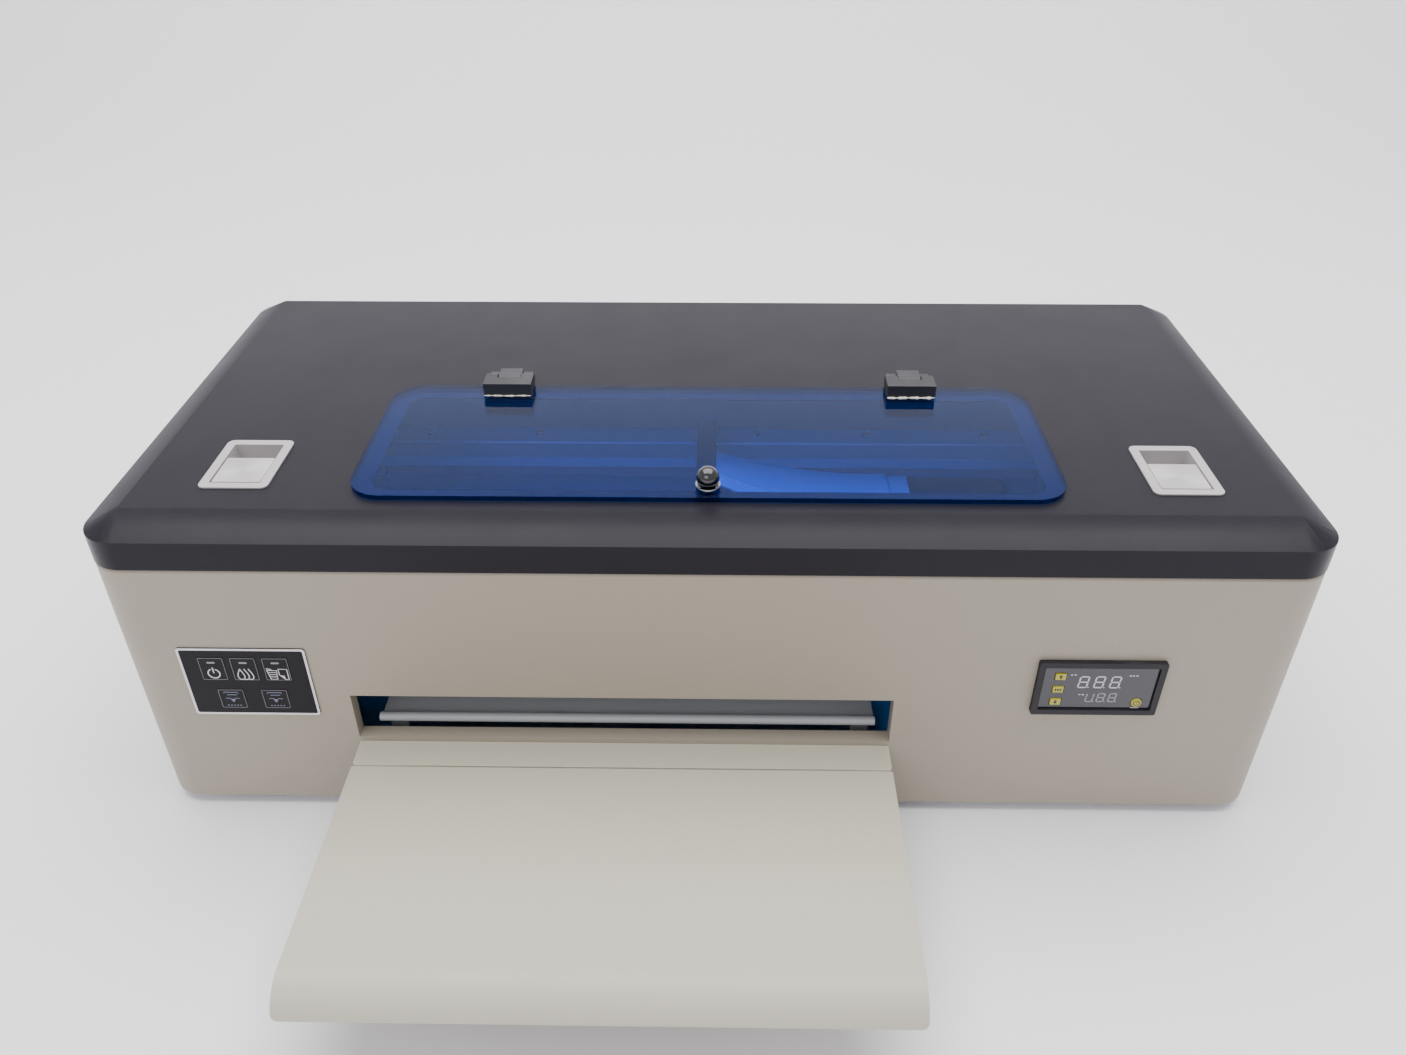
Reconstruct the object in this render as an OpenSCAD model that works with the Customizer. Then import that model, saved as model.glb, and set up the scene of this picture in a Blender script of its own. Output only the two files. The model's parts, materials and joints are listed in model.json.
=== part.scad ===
/* [Case] */
// Width of the sheet-metal case
case_w = 744; // [700:1:800]
// Depth of the sheet-metal case
case_d = 351.8; // [345:0.2:360]
// Height of the case wall up to the top of its folded edge
case_h = 192.3; // [190:0.1:196]
// Outer radius of the upright case corners
case_r = 24.1; // [20:0.1:28]
// Thickness of the case sheet
sheet = 1.5; // [1.2:0.1:1.8]
// Height of the rubber feet under the case
foot_h = 8; // [6:0.5:12]

/* [Lid] */
// How far the lid stands proud of the case on each side
lid_over = 0.4; // [0.2:0.1:1]
// Height of the lid's upright edge
lid_wall = 19.5; // [17:0.5:22]
// Rise of the sloping border of the lid
lid_rise = 10.3; // [9:0.1:11]
// Width of the sloping border of the lid, seen from above
lid_inset = 22; // [20:0.5:23]
// Half width of the tinted window door
door_x = 218.5; // [215:0.5:222]
// Front edge of the tinted window door
door_y0 = -144; // [-146:0.5:-142]
// Rear edge of the tinted window door
door_y1 = -0.5; // [-1:0.1:-0.5]
// Thickness of the tinted window door
door_t = 3; // [2:0.5:3]
// Corner radius of the tinted window door
door_r = 22; // [15:1:25]
// How far the lid lies under the edge of the window door
door_lap = 12; // [10:0.5:14]

/* [Front] */
// Left end of the film slot and of the output tray
slot_x0 = -228.5; // [-232:0.5:-226]
// Right end of the film slot and of the output tray
slot_x1 = 120; // [118:0.5:124]
// Bottom of the film slot
slot_z0 = 57; // [56.5:0.5:59]
// Top of the film slot
slot_z1 = 93.4; // [90:0.1:96]
// Top surface of the output tray
tray_z = 53.5; // [53:0.1:53.5]
// Where the flat part of the tray ends and its curved front begins
tray_flat = -345; // [-350:1:-335]
// Outer radius of the tray's curved front
tray_bend = 22; // [18:0.5:24]
// Angle that the curved front turns through
tray_sweep = 75.5; // [60:0.5:88]

/* [Mechanism] */
// Radius of the carriage guide rod
rod_r = 5; // [4:0.5:5]
// Left side of the parked print carriage
car_x0 = 148; // [146:1:150]
// Right side of the parked print carriage
car_x1 = 226; // [224:1:230]
// Radius of the feed roller and the eject roller
roll_r = 8; // [7:0.5:8]

/* [Hidden] */
$fn = 64;

front = -case_d/2;            // outer face of the front wall
lid_w = case_w + 2*lid_over;
lid_d = case_d + 2*lid_over;
lid_r = case_r + lid_over;
lid_z0 = case_h + 0.4;
lid_z1 = lid_z0 + lid_wall;
lid_top = lid_z1 + lid_rise;
hinge_y = lid_d/2 + 4.7;      // pin line of the lid hinges
hinge_z = case_h + 0.2;
hinge_r = 4;
tray_tip = tray_flat - tray_bend*sin(tray_sweep);
// The row's origin is under the middle of the whole machine
y0 = -(tray_tip + hinge_y + hinge_r)/2;
door_z = lid_top + 0.3;       // underside of the window door
dh_y = -1;                    // pin line of the door hinges
dh_z = lid_top + 8;
dh_x = 139;
belt_x = 236;                 // pulley centres of the carriage belt
belt_z = 100;
feed_y = 22;
eject_y = -56;
roll_z = 60 - roll_r;
gap = 0.3;                    // room between parts that move past each other

module P() { translate([0, y0, foot_h]) children(); }
module box(x0, x1, ya, yb, za, zb) { translate([x0, ya, za]) cube([x1-x0, yb-ya, zb-za]); }
module rrect(w, h, r) {
  square([w-2*r, h], center=true);
  square([w, h-2*r], center=true);
  for (i=[-1,1], j=[-1,1]) translate([i*(w/2-r), j*(h/2-r)]) circle(r);
}
module rbox(x0, x1, ya, yb, za, zb, r) {
  translate([(x0+x1)/2, (ya+yb)/2, za]) linear_extrude(zb-za) rrect(x1-x0, yb-ya, r);
}
// rounded plate standing in the XZ plane, from ya to yb
module rplate(x0, x1, ya, yb, za, zb, r) {
  translate([(x0+x1)/2, yb, (za+zb)/2]) rotate([90,0,0]) linear_extrude(yb-ya) rrect(x1-x0, zb-za, r);
}
module cyl_x(r, xa, xb, y, z) { translate([xa, y, z]) rotate([0,90,0]) cylinder(r=r, h=xb-xa); }
module cyl_y(r, ya, yb, x, z) { translate([x, yb, z]) rotate([90,0,0]) cylinder(r=r, h=yb-ya); }
// a profile in (distance out from the corner centre, height) carried round a rounded rectangle
module swept(w, d, r) {
  for (m=[0,1]) mirror([0,m,0])
    translate([-(w/2-r), d/2-r, 0]) rotate([90,0,90]) linear_extrude(w-2*r) children();
  for (m=[0,1]) mirror([m,0,0])
    translate([w/2-r, d/2-r, 0]) rotate([90,0,0]) linear_extrude(d-2*r) children();
  for (m=[0,1], n=[0,1]) mirror([m,0,0]) mirror([0,n,0])
    translate([w/2-r, d/2-r, 0]) rotate_extrude(angle=90) children();
}
// an XZ-plane outline carried along Y, or a YZ-plane outline carried along X
module along_x(xa, xb) { translate([xa,0,0]) rotate([90,0,90]) linear_extrude(xb-xa) children(); }
module along_y(ya, yb) { translate([0,yb,0]) rotate([90,0,0]) linear_extrude(yb-ya) children(); }

// ---------- case ----------
module case_profile() {
  br = 3;
  translate([case_r-sheet, 0]) square([sheet, case_h-br]);
  translate([case_r-16, case_h-sheet]) square([16-br, sheet]);
  intersection() {
    translate([case_r-br, case_h-br]) difference() { circle(br); circle(br-sheet); }
    translate([case_r-br, case_h-br]) square(br+1);
  }
}
module body_shell() color([0.66,0.63,0.59]) P() difference() {
  union() {
    swept(case_w, case_d, case_r) case_profile();
    // folded-in edges of the film slot
    difference() {
      box(slot_x0-sheet, slot_x1+sheet, front+0.5, front+9.9, slot_z0-sheet, slot_z1+sheet);
      box(slot_x0, slot_x1, front-1, front+11, slot_z0, slot_z1);
    }
  }
  // film slot
  box(slot_x0, slot_x1, front-1, front+5, slot_z0, slot_z1);
  // window behind the membrane panel
  rplate(-327, -254, front-1, front+3, 81, 129, 2);
  // controller cut-out
  box(210.4, 281.6, front-1, front+3, 89.4, 125.6);
  // rear: film entry, inlet module, data socket, vents
  rplate(-222, 114, case_d/2-3, case_d/2+1, 68, 88, 3);
  box(-343.4, -296.6, case_d/2-3, case_d/2+1, 28.4, 55.6);
  box(193, 210, case_d/2-3, case_d/2+1, 9, 21.6);
  for (i=[0:9]) rplate(-238+i*10, -234+i*10, case_d/2-3, case_d/2+1, 16, 42, 1.9);
  // screw holes of the lid hinges
  for (x=[-250,250], i=[-1,1]) cyl_y(1.6, case_d/2-3, case_d/2+1, x+i*20, 172);
}
module base_plate() color([0.75,0.76,0.78]) P() difference() {
  union() {
    rbox(-case_w/2+sheet+0.2, case_w/2-sheet-0.2, -case_d/2+sheet+0.2, case_d/2-sheet-0.2, 0, sheet, case_r-sheet-0.2);
    for (s=[-1,1]) box(-335, 335, min(s*(case_d/2-sheet-0.2), s*(case_d/2-2*sheet-0.2)),
                       max(s*(case_d/2-sheet-0.2), s*(case_d/2-2*sheet-0.2)), 0, 8);
  }
  for (i=[-1,1], j=[-1,1]) translate([i*330, j*140, -1]) cylinder(r=2.2, h=5);
  for (i=[0:7]) rbox(-240+i*12, -235+i*12, 90, 150, -1, 3, 2.4);
}
module feet() color([0.08,0.08,0.08]) P()
  for (i=[-1,1], j=[-1,1]) translate([i*330, j*140, 0]) {
    difference() {
      translate([0,0,-foot_h]) cylinder(r1=11, r2=13, h=foot_h);
      translate([0,0,-foot_h-1]) cylinder(r=5, h=4);
      cylinder(r=2.1, h=20, center=true);
    }
  }
// ---------- output tray and its bracket ----------
module tray_bracket() color([0.77,0.75,0.71]) P() union() {
  difference() {
    box(slot_x0, slot_x1, -197.5, front, tray_z-1.5, tray_z);
    for (e=[0,1]) translate([e ? slot_x1 : slot_x0, -197.5, 0]) difference() {
      translate([0,0,(tray_z-0.75)]) cube([6,6,4], center=true);
      translate([e ? -3 : 3, 3, tray_z-4]) cylinder(r=3, h=8);
    }
  }
  box(slot_x0+6, slot_x1-6, front-1.5, front, 24, tray_z-1);
  for (x=[-170, 61]) box(x-16, x+16, -262, front-0.5, tray_z-3, tray_z-1.5);
}
module tray_profile() {
  translate([tray_flat, tray_z-1.2]) square([-tray_flat-198.8, 1.2]);
  intersection() {
    translate([tray_flat, tray_z-tray_bend]) difference() { circle(tray_bend, $fn=128); circle(tray_bend-1.2, $fn=128); }
    translate([tray_flat, tray_z-tray_bend]) polygon([[0,0],[0,40],[-40,40],[-40, 40/tan(tray_sweep)]]);
  }
}
module output_tray() color([0.77,0.75,0.71]) P() {
  difference() {
    intersection() {
      along_x(slot_x0, slot_x1) tray_profile();
      union() {
        box(slot_x0-1, slot_x1+1, tray_flat, -190, 0, 80);
        rplate(slot_x0, slot_x1, tray_tip-2, tray_flat+1, tray_z-tray_bend+tray_bend*cos(tray_sweep), tray_z+20, 4);
      }
    }
    // slightly rounded rear corners
    for (e=[0,1]) translate([e ? slot_x1 : slot_x0, -198.8, 0]) difference() {
      translate([0,0,tray_z-0.6]) cube([3,3,4], center=true);
      translate([e ? -1.5 : 1.5, -1.5, tray_z-4]) cylinder(r=1.5, h=8);
    }
  }
  // channels under the tray that ride on the bracket's two tongues
  for (x=[-170, 61]) difference() {
    box(x-18.2, x+18.2, -300, -200, tray_z-4.8, tray_z-1.2);
    box(x-16.5, x+16.5, -301, -199, tray_z-3.3, tray_z-1.2);
  }
}
// ---------- film path ----------
module exit_guide_plate() color([0.62,0.62,0.63]) P() {
  box(-218, 112, -160, -64, 57.3, 58.5);
  // rolled front edge
  along_x(-218, 112) intersection() {
    translate([-160, 60.5]) difference() { circle(3.2); circle(2); }
    union() { translate([-165,50]) square([5,20]); translate([-165,60.5]) square([9,9]); }
  }
  for (x=[-216, 98]) box(x, x+12, -74, -72, 1.5, 57.5);
  for (x=[-216, 98]) box(x, x+12, -150, -148, 1.5, 57.5);
}
module heater_mat() color([0.75,0.35,0.12]) P() difference() {
  rbox(-200, 94, -146, -76, 56.2, 57.3, 4);
  rbox(-60, -46, -118, -104, 55, 58, 4);
}
module rear_feed_guide() color([0.2,0.2,0.21]) P() difference() {
  union() {
    along_x(-222, 114) polygon([[36,57.9],[174.3,69],[174.3,70.4],[36,59.3]]);
    for (x=[-222, 112]) along_x(x, x+2) polygon([[66,60],[174.3,68.6],[174.3,80],[66,64.6]]);
    for (x=[-100, 8]) box(x, x+10, 172.3, 174.3, 50, 69);
  }
  for (i=[0:6]) translate([-196+i*47, 120, 40]) rotate([4.6,0,0]) rbox(-9, 9, -20, 20, 0, 50, 3);
}
module platen() color([0.10,0.10,0.11]) P() difference() {
  union() {
    box(-226, 118, -44, 10, 44, 60);
    // tongues that rest on the left side frame and on the cap frame
    box(-260, -226, -30, -4, 44, 52);
    box(118, 152, -30, -4, 44, 52);
  }
  for (i=[0:13]) box(-216+i*24, -200+i*24, -30, -4, 58.2, 61);
  box(-227, 119, -44.5, -41.5, 58.6, 61);
}
module side_frames() color([0.72,0.73,0.75]) P() for (m=[0,1]) mirror([m,0,0]) difference() {
  union() {
    along_x(260, 262) polygon([[-130,1.5],[108,1.5],[108,60],[74,150],[40,150],[-130,72]]);
    box(262, 268, -130, 108, 1.5, 3.5);
  }
  cyl_x(4.05, 258, 264, feed_y, roll_z);
  cyl_x(4.05, 258, 264, eject_y, roll_z);
  cyl_x(rod_r, 258, 264, 24, 84);
}
module main_rail() color([0.78,0.79,0.81]) P() difference() {
  union() {
    box(-260, 260, 56, 58, 66, 150);
    box(-260, 260, 28, 74, 148.2, 150);
    box(-260, 260, 28, 30, 142, 150);
    box(-260, 260, 56, 68, 66, 67.8);
    along_x(-260, 260) translate([51,150]) circle(1.6);
    cyl_y(2.5, 37, 57, -belt_x, belt_z);
  }
  cyl_y(4, 55, 59, belt_x, belt_z);
}
module guide_rod() color([0.8,0.8,0.82]) P() cyl_x(rod_r, -264, 264, 24, 84);
module belt2d(dx, ri, t) difference() {
  union() { square([2*dx, 2*(ri+t)], center=true); for (s=[-1,1]) translate([s*dx,0]) circle(ri+t); }
  union() { square([2*dx, 2*ri], center=true); for (s=[-1,1]) translate([s*dx,0]) circle(ri); }
}
module carriage_belt() color([0.09,0.09,0.09]) P()
  along_y(40, 46) translate([0,belt_z]) belt2d(belt_x, 8, 1.2);
module motor_pulley() color([0.8,0.8,0.78]) P() {
  cyl_y(7.7, 39.7, 46.3, belt_x, belt_z);
  cyl_y(9, 38.2, 39.7, belt_x, belt_z);
  cyl_y(9, 46.3, 47.8, belt_x, belt_z);
  cyl_y(2.5, 36, 72, belt_x, belt_z);
  // flat on the hub shows that it turns
  cyl_y(4.5, 47.8, 52, belt_x, belt_z);
}
module idler_pulley() color([0.8,0.8,0.78]) P() difference() {
  union() {
    cyl_y(7.7, 39.7, 46.3, -belt_x, belt_z);
    cyl_y(9, 38.2, 39.7, -belt_x, belt_z);
    cyl_y(9, 46.3, 47.8, -belt_x, belt_z);
  }
  cyl_y(2.55, 30, 60, -belt_x, belt_z);
}
module carriage_motor() color([0.35,0.36,0.38]) P() difference() {
  union() {
    cyl_y(18, 58, 100, belt_x, belt_z);
    cyl_y(6, 100, 103, belt_x, belt_z);
    box(belt_x-20, belt_x+20, 58, 60, belt_z-8, belt_z+8);
  }
  cyl_y(2.55, 50, 74, belt_x, belt_z);
}
module feed_motor() color([0.35,0.36,0.38]) P() difference() {
  union() { cyl_x(19, -290, -268, feed_y, roll_z); box(-268, -266, feed_y-21, feed_y+21, roll_z-21, roll_z+21);
    for (a=[-1,1]) cyl_x(3, -266, -262, feed_y+a*17, roll_z-17); for (a=[-1,1]) cyl_x(3, -266, -262, feed_y+a*17, roll_z+17); }
  cyl_x(4.05, -288, -260, feed_y, roll_z);
}
module roller(y, sleeve0, sleeve1, left) {
  cyl_x(4, left, 274, y, roll_z);
  cyl_x(roll_r, sleeve0, sleeve1, y, roll_z);
  // toothed wheel for the roller belt
  cyl_x(7.7, 264.5, 271.5, y, roll_z);
  cyl_x(9.2, 271.5, 273, y, roll_z);
}
module feed_roller() color([0.25,0.25,0.26]) P() roller(feed_y, -224, 116, -286);
module eject_roller() color([0.12,0.12,0.12]) P() {
  roller(eject_y, -214, -186, -264);
  for (x=[-130, -62, 6, 74]) cyl_x(roll_r, x, x+28, eject_y, roll_z);
}
module roller_belt() color([0.09,0.09,0.09]) P()
  along_x(265, 271) translate([(feed_y+eject_y)/2, roll_z]) belt2d((feed_y-eject_y)/2, 8, 1.2);
pinch_x = [-190, -100, -10, 80];
module pinch_rollers() color([0.15,0.15,0.15]) P() for (x=pinch_x) {
  cyl_x(4, x-14, x+14, feed_y, 64.3);
  cyl_x(1.5, x-19, x+19, feed_y, 64.3);
}
module pinch_arms() color([0.16,0.16,0.17]) P() for (x=pinch_x) difference() {
  union() {
    for (s=[-1,1]) {
      box(x+s*17-2, x+s*17+2, feed_y, 44, 62.2, 66.4);
      cyl_x(2.9, x+s*17-2, x+s*17+2, feed_y, 64.3);
    }
    box(x-19, x+19, 30, 44, 62.2, 66.4);
    box(x-8, x+8, 40, 56, 62.2, 72);
  }
  for (s=[-1,1]) cyl_x(1.55, x+s*17-3, x+s*17+3, feed_y, 64.3);
}
// ---------- carriage ----------
module carriage_shell() color([0.07,0.07,0.08]) P() difference() {
  union() {
    box(car_x0, car_x1, -42, 36, 74, 130);
    box(car_x0+4, car_x1-4, -36, 8, 68, 74);
    // belt clamp and rear slide shoe
    box(178, 198, 36, 47.5, 87, 96.5);
    box(160, 214, 36, 55.7, 122, 128);
    // guide rod boss
    cyl_x(9, car_x0, car_x1, 24, 84);
  }
  box(car_x0+2.5, car_x1-2.5, -39.5, 12, 82, 131);
  box(car_x0+8, car_x1-8, -32, 4, 67, 83);
  cyl_x(rod_r+0.05, car_x0-1, car_x1+1, 24, 84);
  // way for the belt
  box(170, 206, 39.6, 46.4, 89.8, 93);
}
module print_head() color([0.55,0.56,0.58]) P() {
  box(car_x0+8, car_x1-8, -32, 4, 70, 80);
  box(car_x0+14, car_x1-14, -28, 0, 61.6, 70);
}
module ink_dampers() color([0.85,0.86,0.86]) P() for (i=[0:5]) {
  rbox(153.8+i*11.4, 163.2+i*11.4, -34, 6, 82, 122, 1.5);
  translate([158.5+i*11.4, -22, 122]) cylinder(r=2.6, h=7);
  translate([158.5+i*11.4, -14, 80]) cylinder(r=2, h=2.5);
}
module tube_holder() color([0.93,0.93,0.92]) P() {
  box(128, car_x0, -14, -11.5, 118, 142);
  box(128, 145, -14, 14, 140, 142.6);
  box(144.5, car_x0, -14, 10, 100, 118);
}
module tube_bracket() color([0.9,0.9,0.9]) P() {
  box(-9, 5, 56, 74, 150, 152);
  box(-9, 5, 56, 58, 150, 168);
  box(-9, 5, -12, 58, 166, 168);
}
// sagging flat cable and ink tubes between the bracket and the parked carriage
sag = [for (i=[0:16]) let(t=i/16) [5+126*t, 164-20.7*t-26*t*(1-t)*0.4]];
module ribbon_loop() color([0.9,0.92,0.95]) P()
  along_y(-10, 13) polygon(concat([for (p=sag) p], [for (i=[16:-1:0]) sag[i]+[0,2.6]]));
// ---------- service parts ----------
module cap_frame() color([0.13,0.13,0.14]) P() difference() {
  box(152, 222, -48, 16, 1.5, 54);
  box(155, 219, -45, 13, 12, 55);
}
module cap_tray() color([0.2,0.2,0.22]) P() difference() {
  union() { box(156, 218, -43, 11, 50, 56); box(160, 214, -34, 6, 56, 60.9); box(180, 194, -20, -6, 20, 50); }
  box(163, 211, -31, 3, 57.5, 62);
}
tank_y = [for (i=[0:5]) -148+i*40];
module ink_tanks() color([0.85,0.87,0.88]) P() for (y=tank_y) {
  rbox(-356, -292, y, y+38, 1.6, 132, 3);
  translate([-324, y+19, 132]) cylinder(r=12, h=8);
}
module tank_caps() color([0.1,0.1,0.1]) P() for (y=tank_y) difference() {
  translate([-324, y+19, 134]) cylinder(r=14, h=9);
  translate([-324, y+19, 133]) cylinder(r=12.1, h=7.1);
}
module power_supply() color([0.74,0.75,0.77]) P() difference() {
  box(-246, -136, 74, 168, 1.5, 42);
  // vent slots
  for (i=[0:8]) rbox(-236+i*11.4, -232+i*11.4, 84, 140, 39, 44, 1.9);
}
module main_board() color([0.05,0.28,0.14]) P() {
  box(130, 255, 74, 168, 8, 9.6);
  for (x=[134, 251], y=[78, 164]) translate([x, y, 1.5]) cylinder(r=3, h=6.5);
  box(195, 208, 158, case_d/2+0.3, 9.6, 20.4);
  box(150, 176, 100, 126, 9.6, 12);
  for (i=[0:3]) translate([190+i*14, 96, 9.6]) cylinder(r=5, h=14);
  box(214, 246, 150, 162, 9.6, 20);
  for (i=[0:2]) box(140, 148, 80+i*24, 98+i*24, 9.6, 16);
}
rk_y = case_d/2-4; rk_x = -308; rk_z = 42;
module power_inlet() color([0.07,0.07,0.07]) P() difference() {
  union() {
    rplate(-347, -293, case_d/2, case_d/2+2, 25, 59, 3);
    box(-343, -297, case_d/2-26, case_d/2, 28.8, 55.2);
  }
  // appliance inlet recess
  box(-341, -319, case_d/2-16, case_d/2+3, 32, 52);
  // rocker well
  cyl_x(9.8, rk_x-7, rk_x+7, rk_y, rk_z);
  box(rk_x-7, rk_x+7, case_d/2-4, case_d/2+3, rk_z-9.8, rk_z+9.8);
  cyl_x(1.55, rk_x-9, rk_x+9, rk_y, rk_z);
}
module rocker_switch() color([0.75,0.06,0.05]) P() intersection() {
  union() {
    cyl_x(9.4, rk_x-6.6, rk_x+6.6, rk_y, rk_z);
    cyl_x(1.5, rk_x-8.5, rk_x+8.5, rk_y, rk_z);
  }
  difference() {
    box(rk_x-9, rk_x+9, rk_y-5, rk_y+12, rk_z-10, rk_z+10);
    along_x(rk_x-7, rk_x+7) translate([rk_y+6, rk_z]) rotate(8) translate([0,-20]) square([20,20]);
    along_x(rk_x-7, rk_x+7) translate([rk_y+6, rk_z]) rotate(-20) translate([0,0]) square([20,20]);
  }
}
// ---------- front controls ----------
mp_x = -331; mp_z = 77; mp_w = 81; mp_h = 55.7;
// keys: left edge, top edge from the panel's own left and top, width, height
mk = [[12.0, 7.5, 16, 18.2], [32.2, 7.5, 16, 18.2], [52.5, 7.5, 16, 18.2], [18.6, 34.0, 16.4, 15.6], [46.6, 34.0, 16.4, 15.6]];
module mkey(k, g, ya, yb) rplate(mp_x+k[0]-g, mp_x+k[0]+k[2]+g, ya, yb, mp_z+mp_h-k[1]-k[3]-g, mp_z+mp_h-k[1]+g, 1);
module membrane_panel() color([0.2,0.19,0.24]) P() difference() {
  rplate(mp_x, mp_x+mp_w, front-0.8, front, mp_z, mp_z+mp_h, 2);
  for (k=mk) mkey(k, 0.25, front-2, front+1);
}
module membrane_key(i) color([0.22,0.21,0.26]) P() {
  mkey(mk[i], 0, front-1.1, front+0.8);
}
module power_key() membrane_key(0);
module ink_key() membrane_key(1);
module film_key() membrane_key(2);
module lower_left_key() membrane_key(3);
module lower_right_key() membrane_key(4);
tc_x = 206.5; tc_z = 86; tc_w = 79; tc_h = 43;
tk = [[11.2, 9.3, 6.7, 5.2], [11.2, 20, 6.7, 5], [11.2, 30.2, 6.7, 5.2]];
module controller_case() color([0.22,0.22,0.26]) P() difference() {
  union() {
    rplate(tc_x, tc_x+tc_w, front-3.6, front, tc_z, tc_z+tc_h, 1.5);
    box(tc_x+4.2, tc_x+tc_w-4.2, front, front+68, tc_z+3.8, tc_z+tc_h-3.8);
  }
  // recessed face
  rplate(tc_x+4, tc_x+tc_w-4, front-5, front-1.8, tc_z+4, tc_z+tc_h-4, 0.8);
  // wells that the keys slide in
  for (k=tk) tkey(k, 0.25, front-5, front+3);
  cyl_y(3.55, front-5, front+3, tc_x+65.7, tc_z+tc_h-33.2);
}
module tkey(k, g, ya, yb) rplate(tc_x+k[0]-g, tc_x+k[0]+k[2]+g, ya, yb, tc_z+tc_h-k[1]-k[3]-g, tc_z+tc_h-k[1]+g, 0.6);
module square_key(i) color([0.85,0.8,0.1]) P() {
  tkey(tk[i], 0, front-2.8, front+2);
}
module up_key() square_key(0);
module set_key() square_key(1);
module down_key() square_key(2);
module controller_power_key() color([0.85,0.8,0.1]) P() cyl_y(3.3, front-2.8, front+2, tc_x+65.7, tc_z+tc_h-33.2);
// ---------- lid hinges ----------
lh_x = [-250, 250];
module lower_hinge_leaves() color([0.8,0.8,0.82]) P() for (x=lh_x) difference() {
  union() {
    box(x-30, x+30, case_d/2, case_d/2+2, 160, 187.6);
    for (s=[-1,1]) {
      box(x+s*20.2-9.8, x+s*20.2+9.8, case_d/2, case_d/2+2, 187, 192.2);
      box(x+s*20.2-9.8, x+s*20.2+9.8, case_d/2+0.2, hinge_y, 188.9, 190.9);
      cyl_x(hinge_r, x+s*20.2-9.8, x+s*20.2+9.8, hinge_y, hinge_z);
    }
  }
  cyl_x(2.05, x-31, x+31, hinge_y, hinge_z);
  for (i=[-1,1]) cyl_y(1.6, case_d/2-1, case_d/2+3, x+i*20, 172);
}
module upper_hinge_leaves() color([0.8,0.8,0.82]) P() for (x=lh_x) difference() {
  union() {
    box(x-30, x+30, lid_d/2, lid_d/2+2, 197.4, lid_z1-0.4);
    box(x-9.9, x+9.9, lid_d/2, lid_d/2+2, lid_z0+0.1, 198);
    cyl_x(hinge_r, x-9.9, x+9.9, hinge_y, hinge_z);
  }
  cyl_x(2.0, x-31, x+31, hinge_y, hinge_z);
  for (i=[-1,1]) cyl_y(1.6, lid_d/2-1, lid_d/2+3, x+i*20, 205);
}
module lid_hinge_pins() color([0.6,0.6,0.62]) P() for (x=lh_x) {
  cyl_x(2.0, x-30, x+30, hinge_y, hinge_z);
  for (s=[-1,1]) cyl_x(3, s > 0 ? x+30.4 : x-31.8, s > 0 ? x+31.8 : x-30.4, hinge_y, hinge_z);
  for (s=[-1,1]) cyl_x(2.0, s > 0 ? x+29 : x-31, s > 0 ? x+31 : x-29, hinge_y, hinge_z);
}
module hinge_screws() color([0.55,0.56,0.58]) P() for (x=lh_x, i=[-1,1]) {
  cyl_y(1.5, case_d/2-5, case_d/2+2.2, x+i*20, 172);
  cyl_y(3, case_d/2+2, case_d/2+3.4, x+i*20, 172);
}
// ---------- lid ----------
lu = lid_r;
sl = lid_rise/lid_inset;
nrm = sqrt(lid_rise*lid_rise + lid_inset*lid_inset);
// inner face of the sloping border, one sheet in from the outer one
function slope_z(u) = lid_z1 - sheet*lid_inset/nrm + (lu - sheet*lid_rise/nrm - u)*sl;
function slope_u(z) = lu - sheet*lid_rise/nrm - (z - (lid_z1 - sheet*lid_inset/nrm))/sl;
module lid_profile() polygon([[lu-sheet, lid_z0], [lu, lid_z0], [lu, lid_z1], [lu-lid_inset, lid_top],
  [0, lid_top], [0, lid_top-sheet], [slope_u(lid_top-sheet), lid_top-sheet], [lu-sheet, slope_z(lu-sheet)]]);
dish_l = [-311.3, -268.3, -132.5, -75];
dish_r = [269.9, 312.9, -133, -75.5];
module lid_shell() color([0.36,0.35,0.39]) P() difference() {
  union() {
    swept(lid_w, lid_d, lid_r) lid_profile();
    box(-lid_w/2+lid_r, lid_w/2-lid_r, -lid_d/2+lid_r, lid_d/2-lid_r, lid_top-sheet, lid_top);
  }
  rbox(-door_x+door_lap, door_x-door_lap, door_y0+door_lap, door_y1-door_lap, lid_top-5, lid_top+5, door_r-door_lap);
  for (q=[dish_l, dish_r]) rbox(q[0]+4.4, q[1]-4.4, q[2]+4.4, q[3]-4.4, lid_top-5, lid_top+5, 2);
  for (x=lh_x, i=[-1,1]) cyl_y(1.6, lid_d/2-3, lid_d/2+1, x+i*20, 205);
}
module dish(q) difference() {
  union() {
    rbox(q[0], q[1], q[2], q[3], lid_top, lid_top+1, 4.5);
    rbox(q[0]+4.6, q[1]-4.6, q[2]+4.6, q[3]-4.6, lid_top-15, lid_top+0.5, 1.8);
  }
  // pan
  difference() {
    rbox(q[0]+5.6, q[1]-5.6, q[2]+5.6, q[3]-5.6, lid_top-14, lid_top+2, 0.8);
    cyl_x(1.25, q[0]+5, q[1]-5, q[2]+9.5, lid_top-2.6);
  }
  // way for the pawl
  box((q[0]+q[1])/2-6, (q[0]+q[1])/2+6, q[2]+6, q[2]+30, lid_top-20, lid_top-10);
}
module latch_dishes() color([0.8,0.79,0.77]) P() { dish(dish_l); dish(dish_r); }
module paddle(q) difference() {
  union() {
    rbox(q[0]+6.4, q[1]-6.4, q[2]+7.4, q[2]+36, lid_top-1.2, lid_top+0.3, 1);
    box(q[0]+6.4, q[1]-6.4, q[2]+34.6, q[2]+36, lid_top-4.5, lid_top-0.5);
    cyl_x(2.4, q[0]+6.4, q[1]-6.4, q[2]+9.5, lid_top-2.6);
    box((q[0]+q[1])/2-5, (q[0]+q[1])/2+5, q[2]+8, q[2]+11, lid_top-26, lid_top-2);
  }
  cyl_x(1.3, q[0]+5, q[1]-5, q[2]+9.5, lid_top-2.6);
}
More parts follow.
